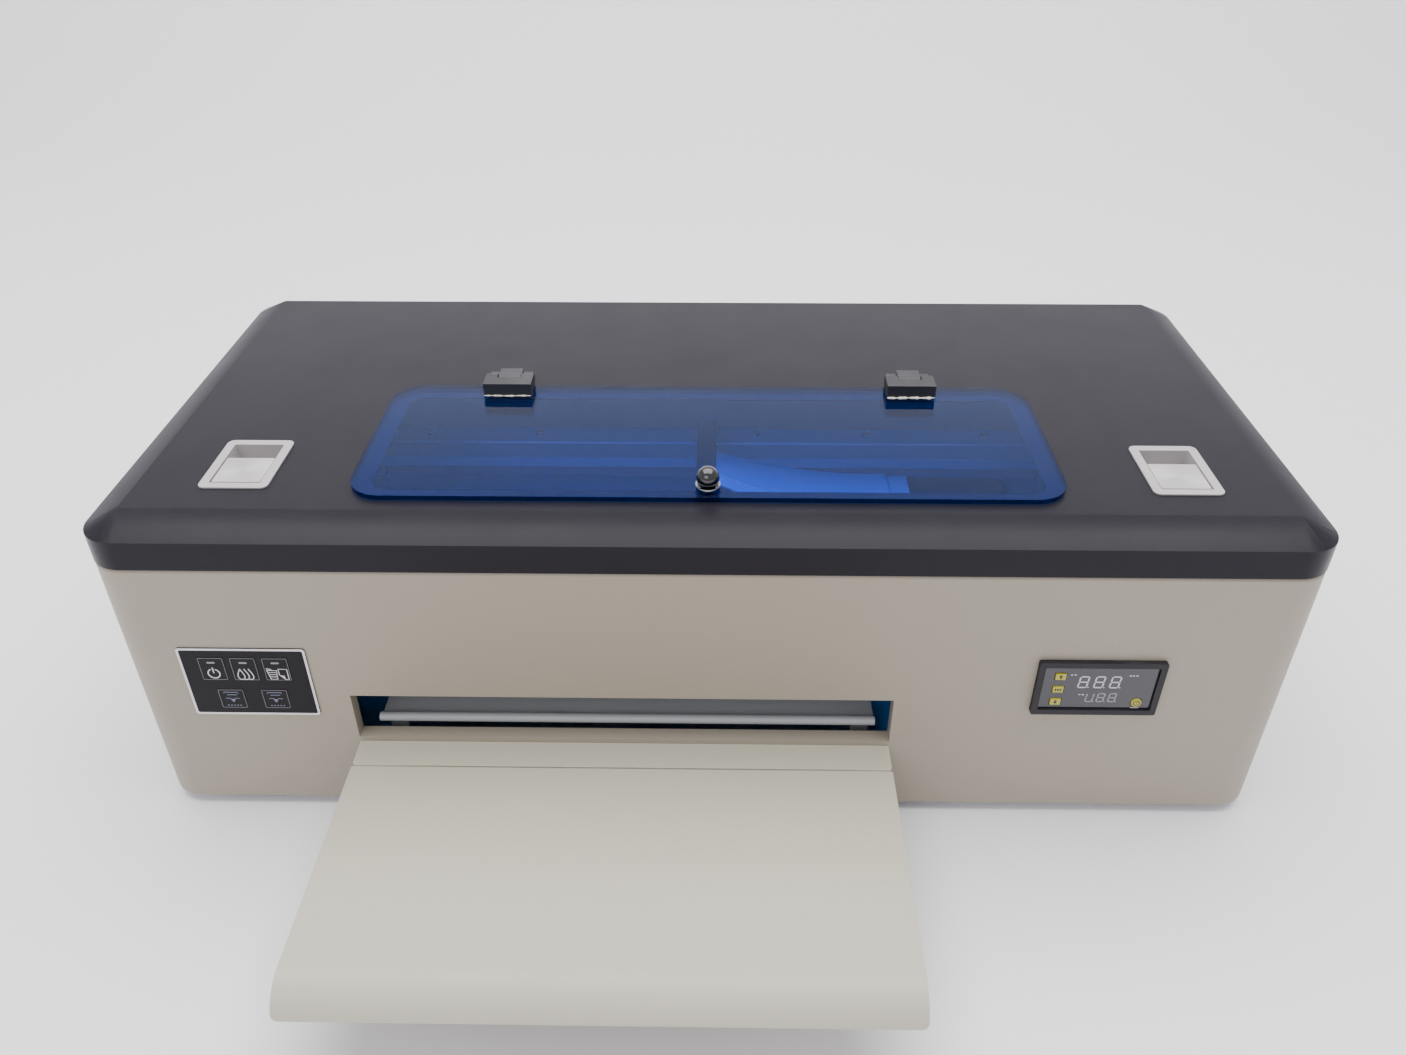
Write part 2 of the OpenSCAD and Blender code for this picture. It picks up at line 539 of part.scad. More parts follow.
module latch_paddle_left() color([0.85,0.84,0.82]) P() paddle(dish_l);
module latch_paddle_right() color([0.85,0.84,0.82]) P() paddle(dish_r);
// ---------- window door ----------
module door_panel() color([0.1,0.3,0.6,0.6]) P() difference() {
  rbox(-door_x, door_x, door_y0, door_y1, door_z, door_z+door_t, door_r);
  translate([0.7, -133, door_z-1]) cylinder(r=2.1, h=door_t+2);
}
module knob() color([0.04,0.04,0.05]) P() translate([0.7, -133, door_z+door_t]) {
  rotate_extrude() difference() {
    union() { square([3.6, 5]); translate([0, 7.6]) circle(7); }
    translate([-10,-10]) square([10, 40]);
    translate([0,-10]) square([10,10]);
  }
  translate([0,0,-door_t]) cylinder(r=2, h=door_t+1);
}
module door_hinge_bases() color([0.05,0.05,0.06]) P() for (x=[-dh_x, dh_x]) {
  difference() {
    union() {
      box(x-15, x+15, 5.5, 10, lid_top, dh_z+1);
      box(x-7.9, x+7.9, dh_y, 10, dh_z-3.4, dh_z+3.6);
      cyl_x(4.2, x-7.9, x+7.9, dh_y, dh_z);
    }
    cyl_x(1.55, x-9, x+9, dh_y, dh_z);
  }
}
module door_hinge_clamps() color([0.05,0.05,0.06]) P() for (x=[-dh_x, dh_x]) difference() {
  union() {
    box(x-16.5, x+16.5, -16, dh_y-1.5, door_z+door_t, dh_z+4.2);
    for (s=[-1,1]) cyl_x(4.2, x+s*12.35-4.15, x+s*12.35+4.15, dh_y, dh_z);
  }
  box(x-8.2, x+8.2, dh_y-4.7, dh_y+6, door_z, dh_z+6);
  cyl_x(1.5, x-17, x+17, dh_y, dh_z);
}
module door_hinge_pins() color([0.6,0.6,0.62]) P() for (x=[-dh_x, dh_x]) cyl_x(1.5, x-16.2, x+16.2, dh_y, dh_z);

body_shell();
base_plate();
feet();
tray_bracket();
exit_guide_plate();
heater_mat();
rear_feed_guide();
platen();
side_frames();
main_rail();
guide_rod();
carriage_belt();
carriage_motor();
feed_motor();
roller_belt();
pinch_arms();
tube_bracket();
ribbon_loop();
cap_frame();
ink_tanks();
tank_caps();
power_supply();
main_board();
power_inlet();
membrane_panel();
controller_case();
lower_hinge_leaves();
hinge_screws();
carriage_shell();
print_head();
ink_dampers();
tube_holder();
motor_pulley();
idler_pulley();
feed_roller();
eject_roller();
pinch_rollers();
cap_tray();
output_tray();
lid_shell();
upper_hinge_leaves();
lid_hinge_pins();
latch_dishes();
door_hinge_bases();
door_panel();
door_hinge_clamps();
door_hinge_pins();
knob();
latch_paddle_left();
latch_paddle_right();
power_key();
ink_key();
film_key();
lower_left_key();
lower_right_key();
up_key();
set_key();
down_key();
controller_power_key();
rocker_switch();
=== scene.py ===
import bpy, bmesh, json, math
from mathutils import Vector, Matrix


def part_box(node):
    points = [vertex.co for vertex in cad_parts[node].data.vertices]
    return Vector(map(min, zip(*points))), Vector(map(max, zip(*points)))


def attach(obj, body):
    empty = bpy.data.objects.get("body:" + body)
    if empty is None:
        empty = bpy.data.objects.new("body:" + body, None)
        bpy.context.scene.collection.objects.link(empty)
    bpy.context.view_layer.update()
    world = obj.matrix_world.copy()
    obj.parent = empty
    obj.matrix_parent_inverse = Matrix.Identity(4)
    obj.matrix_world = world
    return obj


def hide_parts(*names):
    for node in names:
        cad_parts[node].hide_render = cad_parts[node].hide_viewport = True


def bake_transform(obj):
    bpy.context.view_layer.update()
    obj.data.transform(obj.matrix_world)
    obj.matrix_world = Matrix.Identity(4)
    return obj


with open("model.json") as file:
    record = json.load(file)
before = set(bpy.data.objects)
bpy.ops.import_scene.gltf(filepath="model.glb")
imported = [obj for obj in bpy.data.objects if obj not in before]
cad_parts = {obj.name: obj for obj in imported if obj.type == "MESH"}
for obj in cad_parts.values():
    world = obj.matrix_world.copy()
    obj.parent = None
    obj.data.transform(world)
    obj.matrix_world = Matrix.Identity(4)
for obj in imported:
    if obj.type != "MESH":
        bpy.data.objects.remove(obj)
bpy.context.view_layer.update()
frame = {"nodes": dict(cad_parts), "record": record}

NODES = frame["nodes"]
SLOT = {s["node"]: s["material_slot"] for s in frame["record"]["subparts"]}

# ---------------------------------------------------------------- places
# Millimetres from the middle of the case and its underside, into the frame's metres
_lo, _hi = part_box("body_shell")
YC = (_lo.y + _hi.y) / 2
ZC = _lo.z


def W(x, y, z):
    return Vector((x / 1000, y / 1000 + YC, z / 1000 + ZC))


FRONT = (_lo.y - YC) * 1000           # outer face of the front wall
TOP = (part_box("lid_shell")[1].z - ZC) * 1000   # top face of the lid

# ---------------------------------------------------------------- camera
def make_camera():
    yaw, pitch, roll = (math.radians(a) for a in (-0.9552, 34.434, -0.1331))
    fwd = Vector((math.sin(yaw) * math.cos(pitch), math.cos(yaw) * math.cos(pitch), -math.sin(pitch)))
    right = Vector((math.cos(yaw), -math.sin(yaw), 0))
    up = right.cross(fwd)
    R = math.cos(roll) * right + math.sin(roll) * up
    U = -math.sin(roll) * right + math.cos(roll) * up
    m = Matrix((R, U, -fwd)).transposed().to_4x4()
    m.translation = W(7.2136, -705.189, 589.095)
    data = bpy.data.cameras.new("camera")
    data.sensor_width = 36
    data.lens = 28.731
    data.clip_start = 0.02
    ob = bpy.data.objects.new("camera", data)
    ob.matrix_world = m
    bpy.context.scene.collection.objects.link(ob)
    bpy.context.scene.camera = ob


make_camera()

# ---------------------------------------------------------------- materials
def srgb(h):
    c = [int(h[i:i + 2], 16) / 255 for i in (1, 3, 5)]
    return tuple((v / 12.92 if v <= 0.04045 else ((v + 0.055) / 1.055) ** 2.4) for v in c) + (1.0,)


def scaled(c, k):
    return tuple(min(1.0, v * k) for v in c[:3]) + (1.0,)


class Tree:
    def __init__(self, name):
        self.mat = bpy.data.materials.new(name)
        self.mat.use_nodes = True
        self.nt = self.mat.node_tree
        self.nt.nodes.clear()
        self.out = self.nt.nodes.new("ShaderNodeOutputMaterial")
        self.coord = self.nt.nodes.new("ShaderNodeTexCoord")
        self.col = 0

    def node(self, kind, **kw):
        n = self.nt.nodes.new(kind)
        for k, v in kw.items():
            setattr(n, k, v)
        return n

    def link(self, a, b):
        self.nt.links.new(a, b)

    def noise(self, scale, detail=2.0, rough=0.5, stretch=(1, 1, 1), offset=(0, 0, 0)):
        mp = self.node("ShaderNodeMapping")
        mp.inputs["Scale"].default_value = stretch
        mp.inputs["Location"].default_value = offset
        self.link(self.coord.outputs["Object"], mp.inputs["Vector"])
        n = self.node("ShaderNodeTexNoise")
        n.inputs["Scale"].default_value = scale
        n.inputs["Detail"].default_value = detail
        n.inputs["Roughness"].default_value = rough
        self.link(mp.outputs["Vector"], n.inputs["Vector"])
        return n.outputs["Fac"]

    def ramp(self, fac, lo, hi, a=0.0, b=1.0):
        r = self.node("ShaderNodeMapRange")
        r.inputs["From Min"].default_value = lo
        r.inputs["From Max"].default_value = hi
        r.inputs["To Min"].default_value = a
        r.inputs["To Max"].default_value = b
        self.link(fac, r.inputs["Value"])
        return r.outputs["Result"]

    def mix(self, fac, a, b, blend="MIX"):
        m = self.node("ShaderNodeMix", data_type="RGBA", blend_type=blend)
        for sock, v in ((m.inputs[0], fac), (m.inputs[6], a), (m.inputs[7], b)):
            if isinstance(v, (int, float, tuple)):
                sock.default_value = v
            else:
                self.link(v, sock)
        return m.outputs[2]

    def bump(self, height, distance, strength=1.0, normal=None):
        b = self.node("ShaderNodeBump")
        b.inputs["Distance"].default_value = distance
        b.inputs["Strength"].default_value = strength
        self.link(height, b.inputs["Height"])
        if normal is not None:
            self.link(normal, b.inputs["Normal"])
        return b.outputs["Normal"]

    def math(self, op, a, b=None):
        m = self.node("ShaderNodeMath", operation=op)
        for sock, v in ((m.inputs[0], a), (m.inputs[1], b)):
            if v is None:
                continue
            if isinstance(v, (int, float)):
                sock.default_value = v
            else:
                self.link(v, sock)
        return m.outputs[0]

    def axis(self, which):
        s = self.node("ShaderNodeSeparateXYZ")
        self.link(self.coord.outputs["Object"], s.inputs[0])
        return s.outputs[which]

    def up(self):
        g = self.node("ShaderNodeNewGeometry")
        s = self.node("ShaderNodeSeparateXYZ")
        self.link(g.outputs["Normal"], s.inputs[0])
        return s.outputs["Z"]


def surface(name, colour, rough=0.5, metallic=0.0, tone=0.05, tone_scale=7.0, speck=0.0, speck_scale=700.0,
            rough_var=0.06, rough_scale=25.0, bumps=(), coat=0.0, coat_rough=0.1, spec=0.5, dust=0.0,
            dust_colour="#c9c4bc", sheen=0.0, sss=0.0, emit=None, emit_strength=0.0, stretch=(1, 1, 1),
            transmission=0.0, ior=1.5, colour_hook=None, aniso=0.0):
    t = Tree(name)
    p = t.node("ShaderNodeBsdfPrincipled")
    t.link(p.outputs[0], t.out.inputs["Surface"])
    base = srgb(colour) if isinstance(colour, str) else colour
    p.inputs["Metallic"].default_value = metallic
    p.inputs["Specular IOR Level"].default_value = spec
    p.inputs["IOR"].default_value = ior
    p.inputs["Coat Weight"].default_value = coat
    p.inputs["Coat Roughness"].default_value = coat_rough
    p.inputs["Sheen Weight"].default_value = sheen
    p.inputs["Anisotropic"].default_value = aniso
    if transmission:
        p.inputs["Transmission Weight"].default_value = transmission
    if sss:
        p.inputs["Subsurface Weight"].default_value = sss
        p.inputs["Subsurface Radius"].default_value = (0.004, 0.004, 0.004)
        p.inputs["Subsurface Scale"].default_value = 1.0
    if emit:
        p.inputs["Emission Color"].default_value = srgb(emit)
        p.inputs["Emission Strength"].default_value = emit_strength
    c = t.mix(t.noise(tone_scale, 3.0, 0.55, stretch), scaled(base, 1 - tone), scaled(base, 1 + tone))
    if speck:
        c = t.mix(t.ramp(t.noise(speck_scale, 2.0, 0.6), 0.55, 0.72, 0.0, speck), c, scaled(base, 1.6))
        c = t.mix(t.ramp(t.noise(speck_scale * 0.8, 2.0, 0.6, offset=(3, 7, 1)), 0.56, 0.72, 0.0, speck), c, scaled(base, 0.55))
    if dust:
        d = t.math("MULTIPLY", t.ramp(t.up(), 0.55, 1.0, 0.0, dust), t.ramp(t.noise(18, 5.0, 0.65), 0.42, 0.75, 0.15, 1.0))
        c = t.mix(d, c, srgb(dust_colour))
    if colour_hook:
        c = colour_hook(t, c)
    t.link(c, p.inputs["Base Color"])
    t.link(t.ramp(t.noise(rough_scale, 4.0, 0.6, stretch), 0.3, 0.7, max(0.02, rough - rough_var), min(1, rough + rough_var)), p.inputs["Roughness"])
    nrm = None
    for scale, dist, st in bumps:
        nrm = t.bump(t.noise(scale, 2.0, 0.5, st), dist, 1.0, nrm)
    if nrm is not None:
        t.link(nrm, p.inputs["Normal"])
    return t.mat


def acrylic(name, through, gloss_rough=0.03, ior=1.49, edge=None, body=None, haze=0.0):
    """A clear tinted sheet: coloured see-through with a Fresnel gloss, and a darker tint through the sheet's edge."""
    t = Tree(name)
    tr = t.node("ShaderNodeBsdfTransparent")
    gl = t.node("ShaderNodeBsdfGlossy")
    gl.inputs["Color"].default_value = (1, 1, 1, 1)
    t.link(t.ramp(t.noise(40, 4.0, 0.6), 0.3, 0.7, gloss_rough * 0.6, gloss_rough * 1.6), gl.inputs["Roughness"])
    g = t.node("ShaderNodeNewGeometry")
    s = t.node("ShaderNodeSeparateXYZ")
    t.link(g.outputs["True Normal"], s.inputs[0])
    side = t.ramp(t.math("ABSOLUTE", s.outputs["Z"]), 0.2, 0.8, 1.0, 0.0)
    tint = t.mix(t.noise(5.0, 2.0), scaled(through, 0.97), scaled(through, 1.03))
    t.link(t.mix(side, tint, edge or scaled(through, 0.25)), tr.inputs["Color"])
    lw = t.node("ShaderNodeLayerWeight")
    lw.inputs["Blend"].default_value = 0.5
    f0 = ((ior - 1) / (ior + 1)) ** 2
    fr = t.ramp(t.math("POWER", lw.outputs["Facing"], 5.0), 0.0, 1.0, f0, 1.0)
    t.link(t.bump(t.noise(14.0, 2.0), 0.00002, 1.0), gl.inputs["Normal"])
    clear = tr
    if haze:
        # dyed sheet scatters a little of its own colour
        df = t.node("ShaderNodeBsdfDiffuse")
        df.inputs["Color"].default_value = body
        clear = t.node("ShaderNodeMixShader")
        clear.inputs[0].default_value = haze
        t.link(tr.outputs[0], clear.inputs[1])
        t.link(df.outputs[0], clear.inputs[2])
    mx = t.node("ShaderNodeMixShader")
    t.link(fr, mx.inputs[0])
    t.link(clear.outputs[0], mx.inputs[1])
    t.link(gl.outputs[0], mx.inputs[2])
    t.link(mx.outputs[0], t.out.inputs["Surface"])
    return t.mat


def brushed(name, colour, rough, along, tone=0.10, wear=0.0):
    """Brushed steel: fine streaks along one axis, in colour, roughness and bump."""
    st = {"x": (0.035, 1, 1), "y": (1, 0.035, 1), "z": (1, 1, 0.035)}[along]
    t = Tree(name)
    p = t.node("ShaderNodeBsdfPrincipled")
    t.link(p.outputs[0], t.out.inputs["Surface"])
    base = srgb(colour)
    p.inputs["Metallic"].default_value = 1.0
    p.inputs["Anisotropic"].default_value = 0.35
    streak = t.noise(1500.0, 3.0, 0.6, st)
    broad = t.noise(16.0, 4.0, 0.6)
    c = t.mix(streak, scaled(base, 1 - tone), scaled(base, 1 + tone))
    c = t.mix(t.ramp(broad, 0.35, 0.7, 0.0, 0.35), c, scaled(base, 0.86))
    t.link(c, p.inputs["Base Color"])
    r = t.math("ADD", t.ramp(streak, 0.3, 0.7, rough - 0.07, rough + 0.07), t.ramp(broad, 0.4, 0.8, -0.02, 0.07 + wear))
    t.link(r, p.inputs["Roughness"])
    t.link(t.bump(streak, 0.000012, 1.0, t.bump(broad, 0.00004, 1.0)), p.inputs["Normal"])
    return t.mat


def tank_colours(t, c):
    """Ink seen through the milky tank: a colour for each tank along the row, up to its level."""
    y = t.axis("Y")
    inks = ["#1a1a1d", "#0f6fb0", "#b4246a", "#d8b71e", "#e9e8e4", "#e9e8e4"]
    y0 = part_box("ink_tanks")[0].y
    out = c
    for i, h in enumerate(inks):
        a = y0 + i * 0.040 - 0.001
        inside = t.math("MULTIPLY", t.math("GREATER_THAN", y, a), t.math("LESS_THAN", y, a + 0.040))
        level = 0.085 + 0.012 * math.sin(i * 2.3)
        z = t.math("LESS_THAN", t.axis("Z"), level + ZC)
        out = t.mix(t.math("MULTIPLY", t.math("MULTIPLY", inside, z), 0.72), out, srgb(h))
    return out


def board_colours(t, c):
    """Copper tracks and pads under green solder mask, with black parts above 9.8 mm height."""
    tracks = t.noise(260.0, 1.0, 0.3, (1, 0.12, 1))
    tracks2 = t.noise(260.0, 1.0, 0.3, (0.12, 1, 1), (5, 2, 0))
    out = t.mix(t.ramp(tracks, 0.60, 0.64, 0.0, 0.45), c, srgb("#2f8f55"))
    out = t.mix(t.ramp(tracks2, 0.60, 0.64, 0.0, 0.35), out, srgb("#2f8f55"))
    v = t.node("ShaderNodeTexVoronoi")
    v.inputs["Scale"].default_value = 170.0
    t.link(t.coord.outputs["Object"], v.inputs["Vector"])
    out = t.mix(t.ramp(v.outputs["Distance"], 0.10, 0.16, 0.75, 0.0), out, srgb("#c9cbc9"))
    high = t.ramp(t.axis("Z"), ZC + 0.0098, ZC + 0.0100, 0.0, 1.0)
    return t.mix(high, out, srgb("#1b1b1d"))


POWDER = ((900.0, 0.000045, (1, 1, 1)), (2600.0, 0.00002, (1, 1, 1)))
MOULD = ((1400.0, 0.00002, (1, 1, 1)),)

M = {
    # case_paint and tray_paint are lit and shaded copies of one powder coat: the tray's lighter colour and lighter dust
    # colour are painted light for its face turned up to the lamps
    "case_paint": surface("case_powder_coat", "#958c7e", 0.50, tone=0.012, speck=0.08, speck_scale=900, rough_var=0.04, bumps=POWDER, dust=0.05, dust_colour="#aca598"),
    "tray_paint": surface("tray_powder_coat_painted_lit", "#b3ae9e", 0.46, tone=0.012, speck=0.06, speck_scale=900, rough_var=0.04, bumps=POWDER, dust=0.04, dust_colour="#bfbbb0"),
    "lid_paint": surface("lid_powder_coat", "#1a181f", 0.34, spec=0.15, tone=0.015, speck=0.10, speck_scale=1000, rough_var=0.03, bumps=POWDER, dust=0.015, dust_colour="#7a7880"),
    "zinc_sheet": surface("zinc_plate", "#b9bcc0", 0.38, metallic=0.9, tone=0.08, tone_scale=30, speck=0.12, speck_scale=120, rough_var=0.10, bumps=((60.0, 0.00005, (1, 1, 1)),)),
    "steel": brushed("ground_steel", "#c4c4c6", 0.28, "x"),
    "latch_steel": brushed("brushed_stainless", "#dedad8", 0.34, "x"),
    "rubber": surface("black_rubber", "#17171a", 0.78, tone=0.12, tone_scale=40, bumps=((1200.0, 0.00006, (1, 1, 1)),), dust=0.15),
    "silicone": surface("orange_silicone", "#b4551f", 0.55, tone=0.05, bumps=((500.0, 0.00008, (1, 1, 1)),), sheen=0.2),
    "black_plastic": surface("satin_black_plastic", "#1a1a1d", 0.42, tone=0.08, bumps=MOULD, dust=0.10, dust_colour="#85838a"),
    "gloss_black": surface("polished_black_plastic", "#0c0c10", 0.12, tone=0.10, rough_var=0.04, coat=0.6, coat_rough=0.06, bumps=((60.0, 0.00002, (1, 1, 1)),)),
    "grey_metal": surface("motor_can_paint", "#5c5e63", 0.42, metallic=0.5, tone=0.06, speck=0.06, bumps=((700.0, 0.00004, (1, 1, 1)),)),
    "white_plastic": surface("white_moulded_plastic", "#eceae6", 0.40, tone=0.025, bumps=MOULD, sss=0.05),
    "clear_plastic": surface("milky_tank_plastic", "#dfe3e4", 0.30, tone=0.03, coat=0.25, coat_rough=0.2, bumps=((180.0, 0.00004, (1, 1, 1)),), colour_hook=tank_colours),
    "cable": surface("flat_cable_white", "#e9ebee", 0.38, tone=0.03, bumps=((300.0, 0.00003, (0.05, 1, 1)),)),
    "tint_acrylic": acrylic("blue_tinted_acrylic", (0.13, 0.52, 0.99, 1.0), ior=1.18, body=(0.008, 0.07, 0.36, 1.0), haze=0.03),
    "board": surface("circuit_board", "#1d5c37", 0.35, tone=0.06, bumps=((300.0, 0.00003, (1, 1, 1)),), colour_hook=board_colours),
    "membrane": surface("membrane_film", "#100e13", 0.34, spec=0.15, tone=0.05, rough_var=0.05, bumps=((2200.0, 0.00001, (1, 1, 1)), (25.0, 0.00003, (1, 1, 1)))),
    "controller_grey": surface("controller_plastic", "#17161b", 0.45, spec=0.3, tone=0.04, bumps=MOULD, dust=0.12, dust_colour="#8a8790"),
    "yellow_key": surface("yellow_key_cap", "#a79f22", 0.32, tone=0.05, coat=0.2, bumps=((500.0, 0.00002, (1, 1, 1)),)),
    "red_key": surface("red_rocker", "#b5150f", 0.22, tone=0.06, coat=0.5, bumps=((200.0, 0.00002, (1, 1, 1)),)),
    "head_metal": surface("print_head_metal", "#8e9094", 0.35, metallic=0.85, tone=0.08, bumps=((400.0, 0.00003, (1, 1, 1)),)),
}
X = {
    "chrome": surface("knob_chrome", "#a4a6ac", 0.10, metallic=1.0, tone=0.03, rough_var=0.04, bumps=((90.0, 0.00002, (1, 1, 1)),)),
    "glue": surface("glue_bead", "#d9cfbf", 0.38, tone=0.10, tone_scale=90, coat=0.4, coat_rough=0.15, sss=0.15, bumps=((420.0, 0.00025, (1, 1, 1)),)),
    "border": surface("panel_border_white", "#d9d4d6", 0.42, tone=0.03, bumps=((1500.0, 0.00001, (1, 1, 1)),)),
    "line": surface("panel_line_grey", "#6b6870", 0.45, tone=0.06),
    "icon": surface("panel_icon_pale", "#cfcbd0", 0.42, tone=0.05, bumps=((1500.0, 0.00001, (1, 1, 1)),)),
    "icon_dim": surface("panel_icon_dim", "#6a6f86", 0.45, tone=0.10),
    "led": surface("led_window", "#7d7b82", 0.22, tone=0.08, coat=0.5),
    "lens": surface("controller_lens", "#1b1a25", 0.16, tone=0.05, tone_scale=30, rough_var=0.05, coat=0.5, coat_rough=0.08, bumps=((40.0, 0.00003, (1, 1, 1)),)),
    "digit": surface("digit_bars", "#b9b6c2", 0.35, tone=0.06, coat=0.3),
    "digit_dim": surface("digit_bars_dim", "#85828f", 0.35, tone=0.06, coat=0.3),
    "mark": surface("key_mark_dark", "#26241c", 0.5, tone=0.08),
    "screw": brushed("screw_steel", "#a9aaad", 0.25, "x"),
    "tube": surface("ink_tube_white", "#e6e9ee", 0.24, tone=0.04, coat=0.4, coat_rough=0.12, sss=0.1, bumps=((120.0, 0.00003, (1, 1, 1)),)),
    "strip": surface("encoder_film", "#8d9196", 0.2, tone=0.05, coat=0.4, bumps=((2600.0, 0.00001, (1, 0.01, 0.01)),)),
    "contact": surface("brass_contact", "#c9a863", 0.22, metallic=1.0, tone=0.08, bumps=((300.0, 0.00002, (1, 1, 1)),)),
    "socket": surface("socket_black", "#101012", 0.5, tone=0.08, bumps=MOULD),
    "foam": surface("grey_foam", "#3b3b40", 0.95, tone=0.15, tone_scale=300, bumps=((900.0, 0.0003, (1, 1, 1)),)),
}

# ---------------------------------------------------------------- mesh helpers
def piece(name, verts, faces, body, mat, smooth=False, bevel=0.0, segs=2, sharp=35.0, ride=True):
    me = bpy.data.meshes.new(name)
    me.from_pydata([tuple(v) for v in verts], [], faces)
    me.validate()
    bm = bmesh.new()
    bm.from_mesh(me)
    bmesh.ops.remove_doubles(bm, verts=bm.verts, dist=1e-7)
    bmesh.ops.recalc_face_normals(bm, faces=bm.faces)
    for f in bm.faces:
        f.smooth = smooth or bevel > 0
    if smooth and not bevel:
        for e in bm.edges:
            if len(e.link_faces) == 2 and e.calc_face_angle(0) > math.radians(sharp):
                e.smooth = False
    bm.to_mesh(me)
    bm.free()
    ob = bpy.data.objects.new(name, me)
    bpy.context.scene.collection.objects.link(ob)
    me.materials.append(mat)
    if bevel:
        soften(ob, bevel, segs, sharp, weld=False)
    if ride:
        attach(ob, body)
    return ob


def soften(ob, width, segs=2, angle=32.0, weld=True):
    """Small rounded edges on every crisp edge, with flat faces kept flat."""
    if weld:
        w = ob.modifiers.new("weld", "WELD")
        w.merge_threshold = 2e-6
        d = ob.modifiers.new("flats", "DECIMATE")
        d.decimate_type = "DISSOLVE"
        d.angle_limit = math.radians(1.0)
    b = ob.modifiers.new("edges", "BEVEL")
    b.limit_method = "ANGLE"
    b.angle_limit = math.radians(angle)
    b.width = width
    b.segments = segs
    b.use_clamp_overlap = True
    b.miter_outer = "MITER_ARC"
    n = ob.modifiers.new("normals", "WEIGHTED_NORMAL")
    n.weight = 100
    n.keep_sharp = False


def merge(parts):
    vs, fs = [], []
    for v, f in parts:
        k = len(vs)
        vs += list(v)
        fs += [tuple(i + k for i in q) for q in f]
    return vs, fs


def blk(x0, x1, y0, y1, z0, z1):
    v = [W(x, y, z) for z in (z0, z1) for y in (y0, y1) for x in (x0, x1)]
    return v, [(0, 2, 3, 1), (4, 5, 7, 6), (0, 1, 5, 4), (2, 6, 7, 3), (0, 4, 6, 2), (1, 3, 7, 5)]


def rr(x0, x1, z0, z1, r, n=6):
    pts = []
    for cx, cz, a0 in ((x1 - r, z1 - r, 0), (x0 + r, z1 - r, 90), (x0 + r, z0 + r, 180), (x1 - r, z0 + r, 270)):
        for i in range(n + 1):
            a = math.radians(a0 + 90 * i / n)
            pts.append((cx + r * math.cos(a), cz + r * math.sin(a)))
    return pts


def prism_xz(poly, yf, yb):
    """A flat shape facing the front, from yf (front) to yb (back)."""
    n = len(poly)
    v = [W(x, yf, z) for x, z in poly] + [W(x, yb, z) for x, z in poly]
    f = [tuple(range(n)), tuple(range(2 * n - 1, n - 1, -1))]
    f += [(i, (i + 1) % n, n + (i + 1) % n, n + i) for i in range(n)]
    return v, f


def ring_xz(outer, inner, yf, yb):
    n = len(outer)
    v = [W(x, yf, z) for x, z in outer] + [W(x, yf, z) for x, z in inner]
    v += [W(x, yb, z) for x, z in outer] + [W(x, yb, z) for x, z in inner]
    f = []
    for i in range(n):
        j = (i + 1) % n
        f += [(i, j, n + j, n + i), (2 * n + i, 3 * n + i, 3 * n + j, 2 * n + j),
              (i, 2 * n + i, 2 * n + j, j), (n + i, n + j, 3 * n + j, 3 * n + i)]
    return v, f


def stroke_xz(pts, width, yf, yb, closed=False):
    """A line of constant width drawn on a front face."""
    n = len(pts)
    v = []
    for i, (x, z) in enumerate(pts):
        a = pts[i - 1] if (i or closed) else pts[i]
        b = pts[(i + 1) % n] if (i < n - 1 or closed) else pts[i]
        dx, dz = b[0] - a[0], b[1] - a[1]
        k = math.hypot(dx, dz) or 1.0
        ox, oz = -dz / k * width / 2, dx / k * width / 2
        v += [W(x + ox, yf, z + oz), W(x - ox, yf, z - oz), W(x - ox, yb, z - oz), W(x + ox, yb, z + oz)]
    f = []
    for i in range(n if closed else n - 1):
        j = (i + 1) % n
        for k in range(4):
            f.append((4 * i + k, 4 * i + (k + 1) % 4, 4 * j + (k + 1) % 4, 4 * j + k))
    if not closed:
        f += [(3, 2, 1, 0), tuple(4 * (n - 1) + k for k in range(4))]
    return v, f


def smooth_path(pts, per=8, closed=False):
    out = []
    n = len(pts)
    for i in range(n if closed else n - 1):
        p0 = pts[(i - 1) % n] if (closed or i) else pts[0]
        p1, p2 = pts[i], pts[(i + 1) % n]
        p3 = pts[(i + 2) % n] if (closed or i < n - 2) else pts[-1]
        for k in range(per):
            t = k / per
            out.append(tuple(0.5 * ((2 * b) + (-a + c) * t + (2 * a - 5 * b + 4 * c - d) * t * t + (-a + 3 * b - 3 * c + d) * t ** 3)
                             for a, b, c, d in zip(p0, p1, p2, p3)))
    if not closed:
        out.append(tuple(pts[-1]))
    return out


def tube_mesh(pts, radius, seg=12, squash=(1, 1), wobble=None):
    """A round tube along points given in millimetres."""
    P = [W(*p) for p in pts]
    n = len(P)
    v, f = [], []
    up = None
    for i in range(n):
        d = (P[min(i + 1, n - 1)] - P[max(i - 1, 0)]).normalized()
        if up is None:
            up = Vector((0, 0, 1)) if abs(d.z) < 0.9 else Vector((0, 1, 0))
        side = d.cross(up).normalized()
        up = side.cross(d).normalized()
        r = (radius if not callable(radius) else radius(i / (n - 1))) / 1000
        for k in range(seg):
            a = 2 * math.pi * k / seg
            v.append(P[i] + side * (r * squash[0] * math.cos(a)) + up * (r * squash[1] * math.sin(a)))
    for i in range(n - 1):
        for k in range(seg):
            f.append((i * seg + k, i * seg + (k + 1) % seg, (i + 1) * seg + (k + 1) % seg, (i + 1) * seg + k))
    f.append(tuple(range(seg - 1, -1, -1)))
    f.append(tuple((n - 1) * seg + k for k in range(seg)))
    return v, f


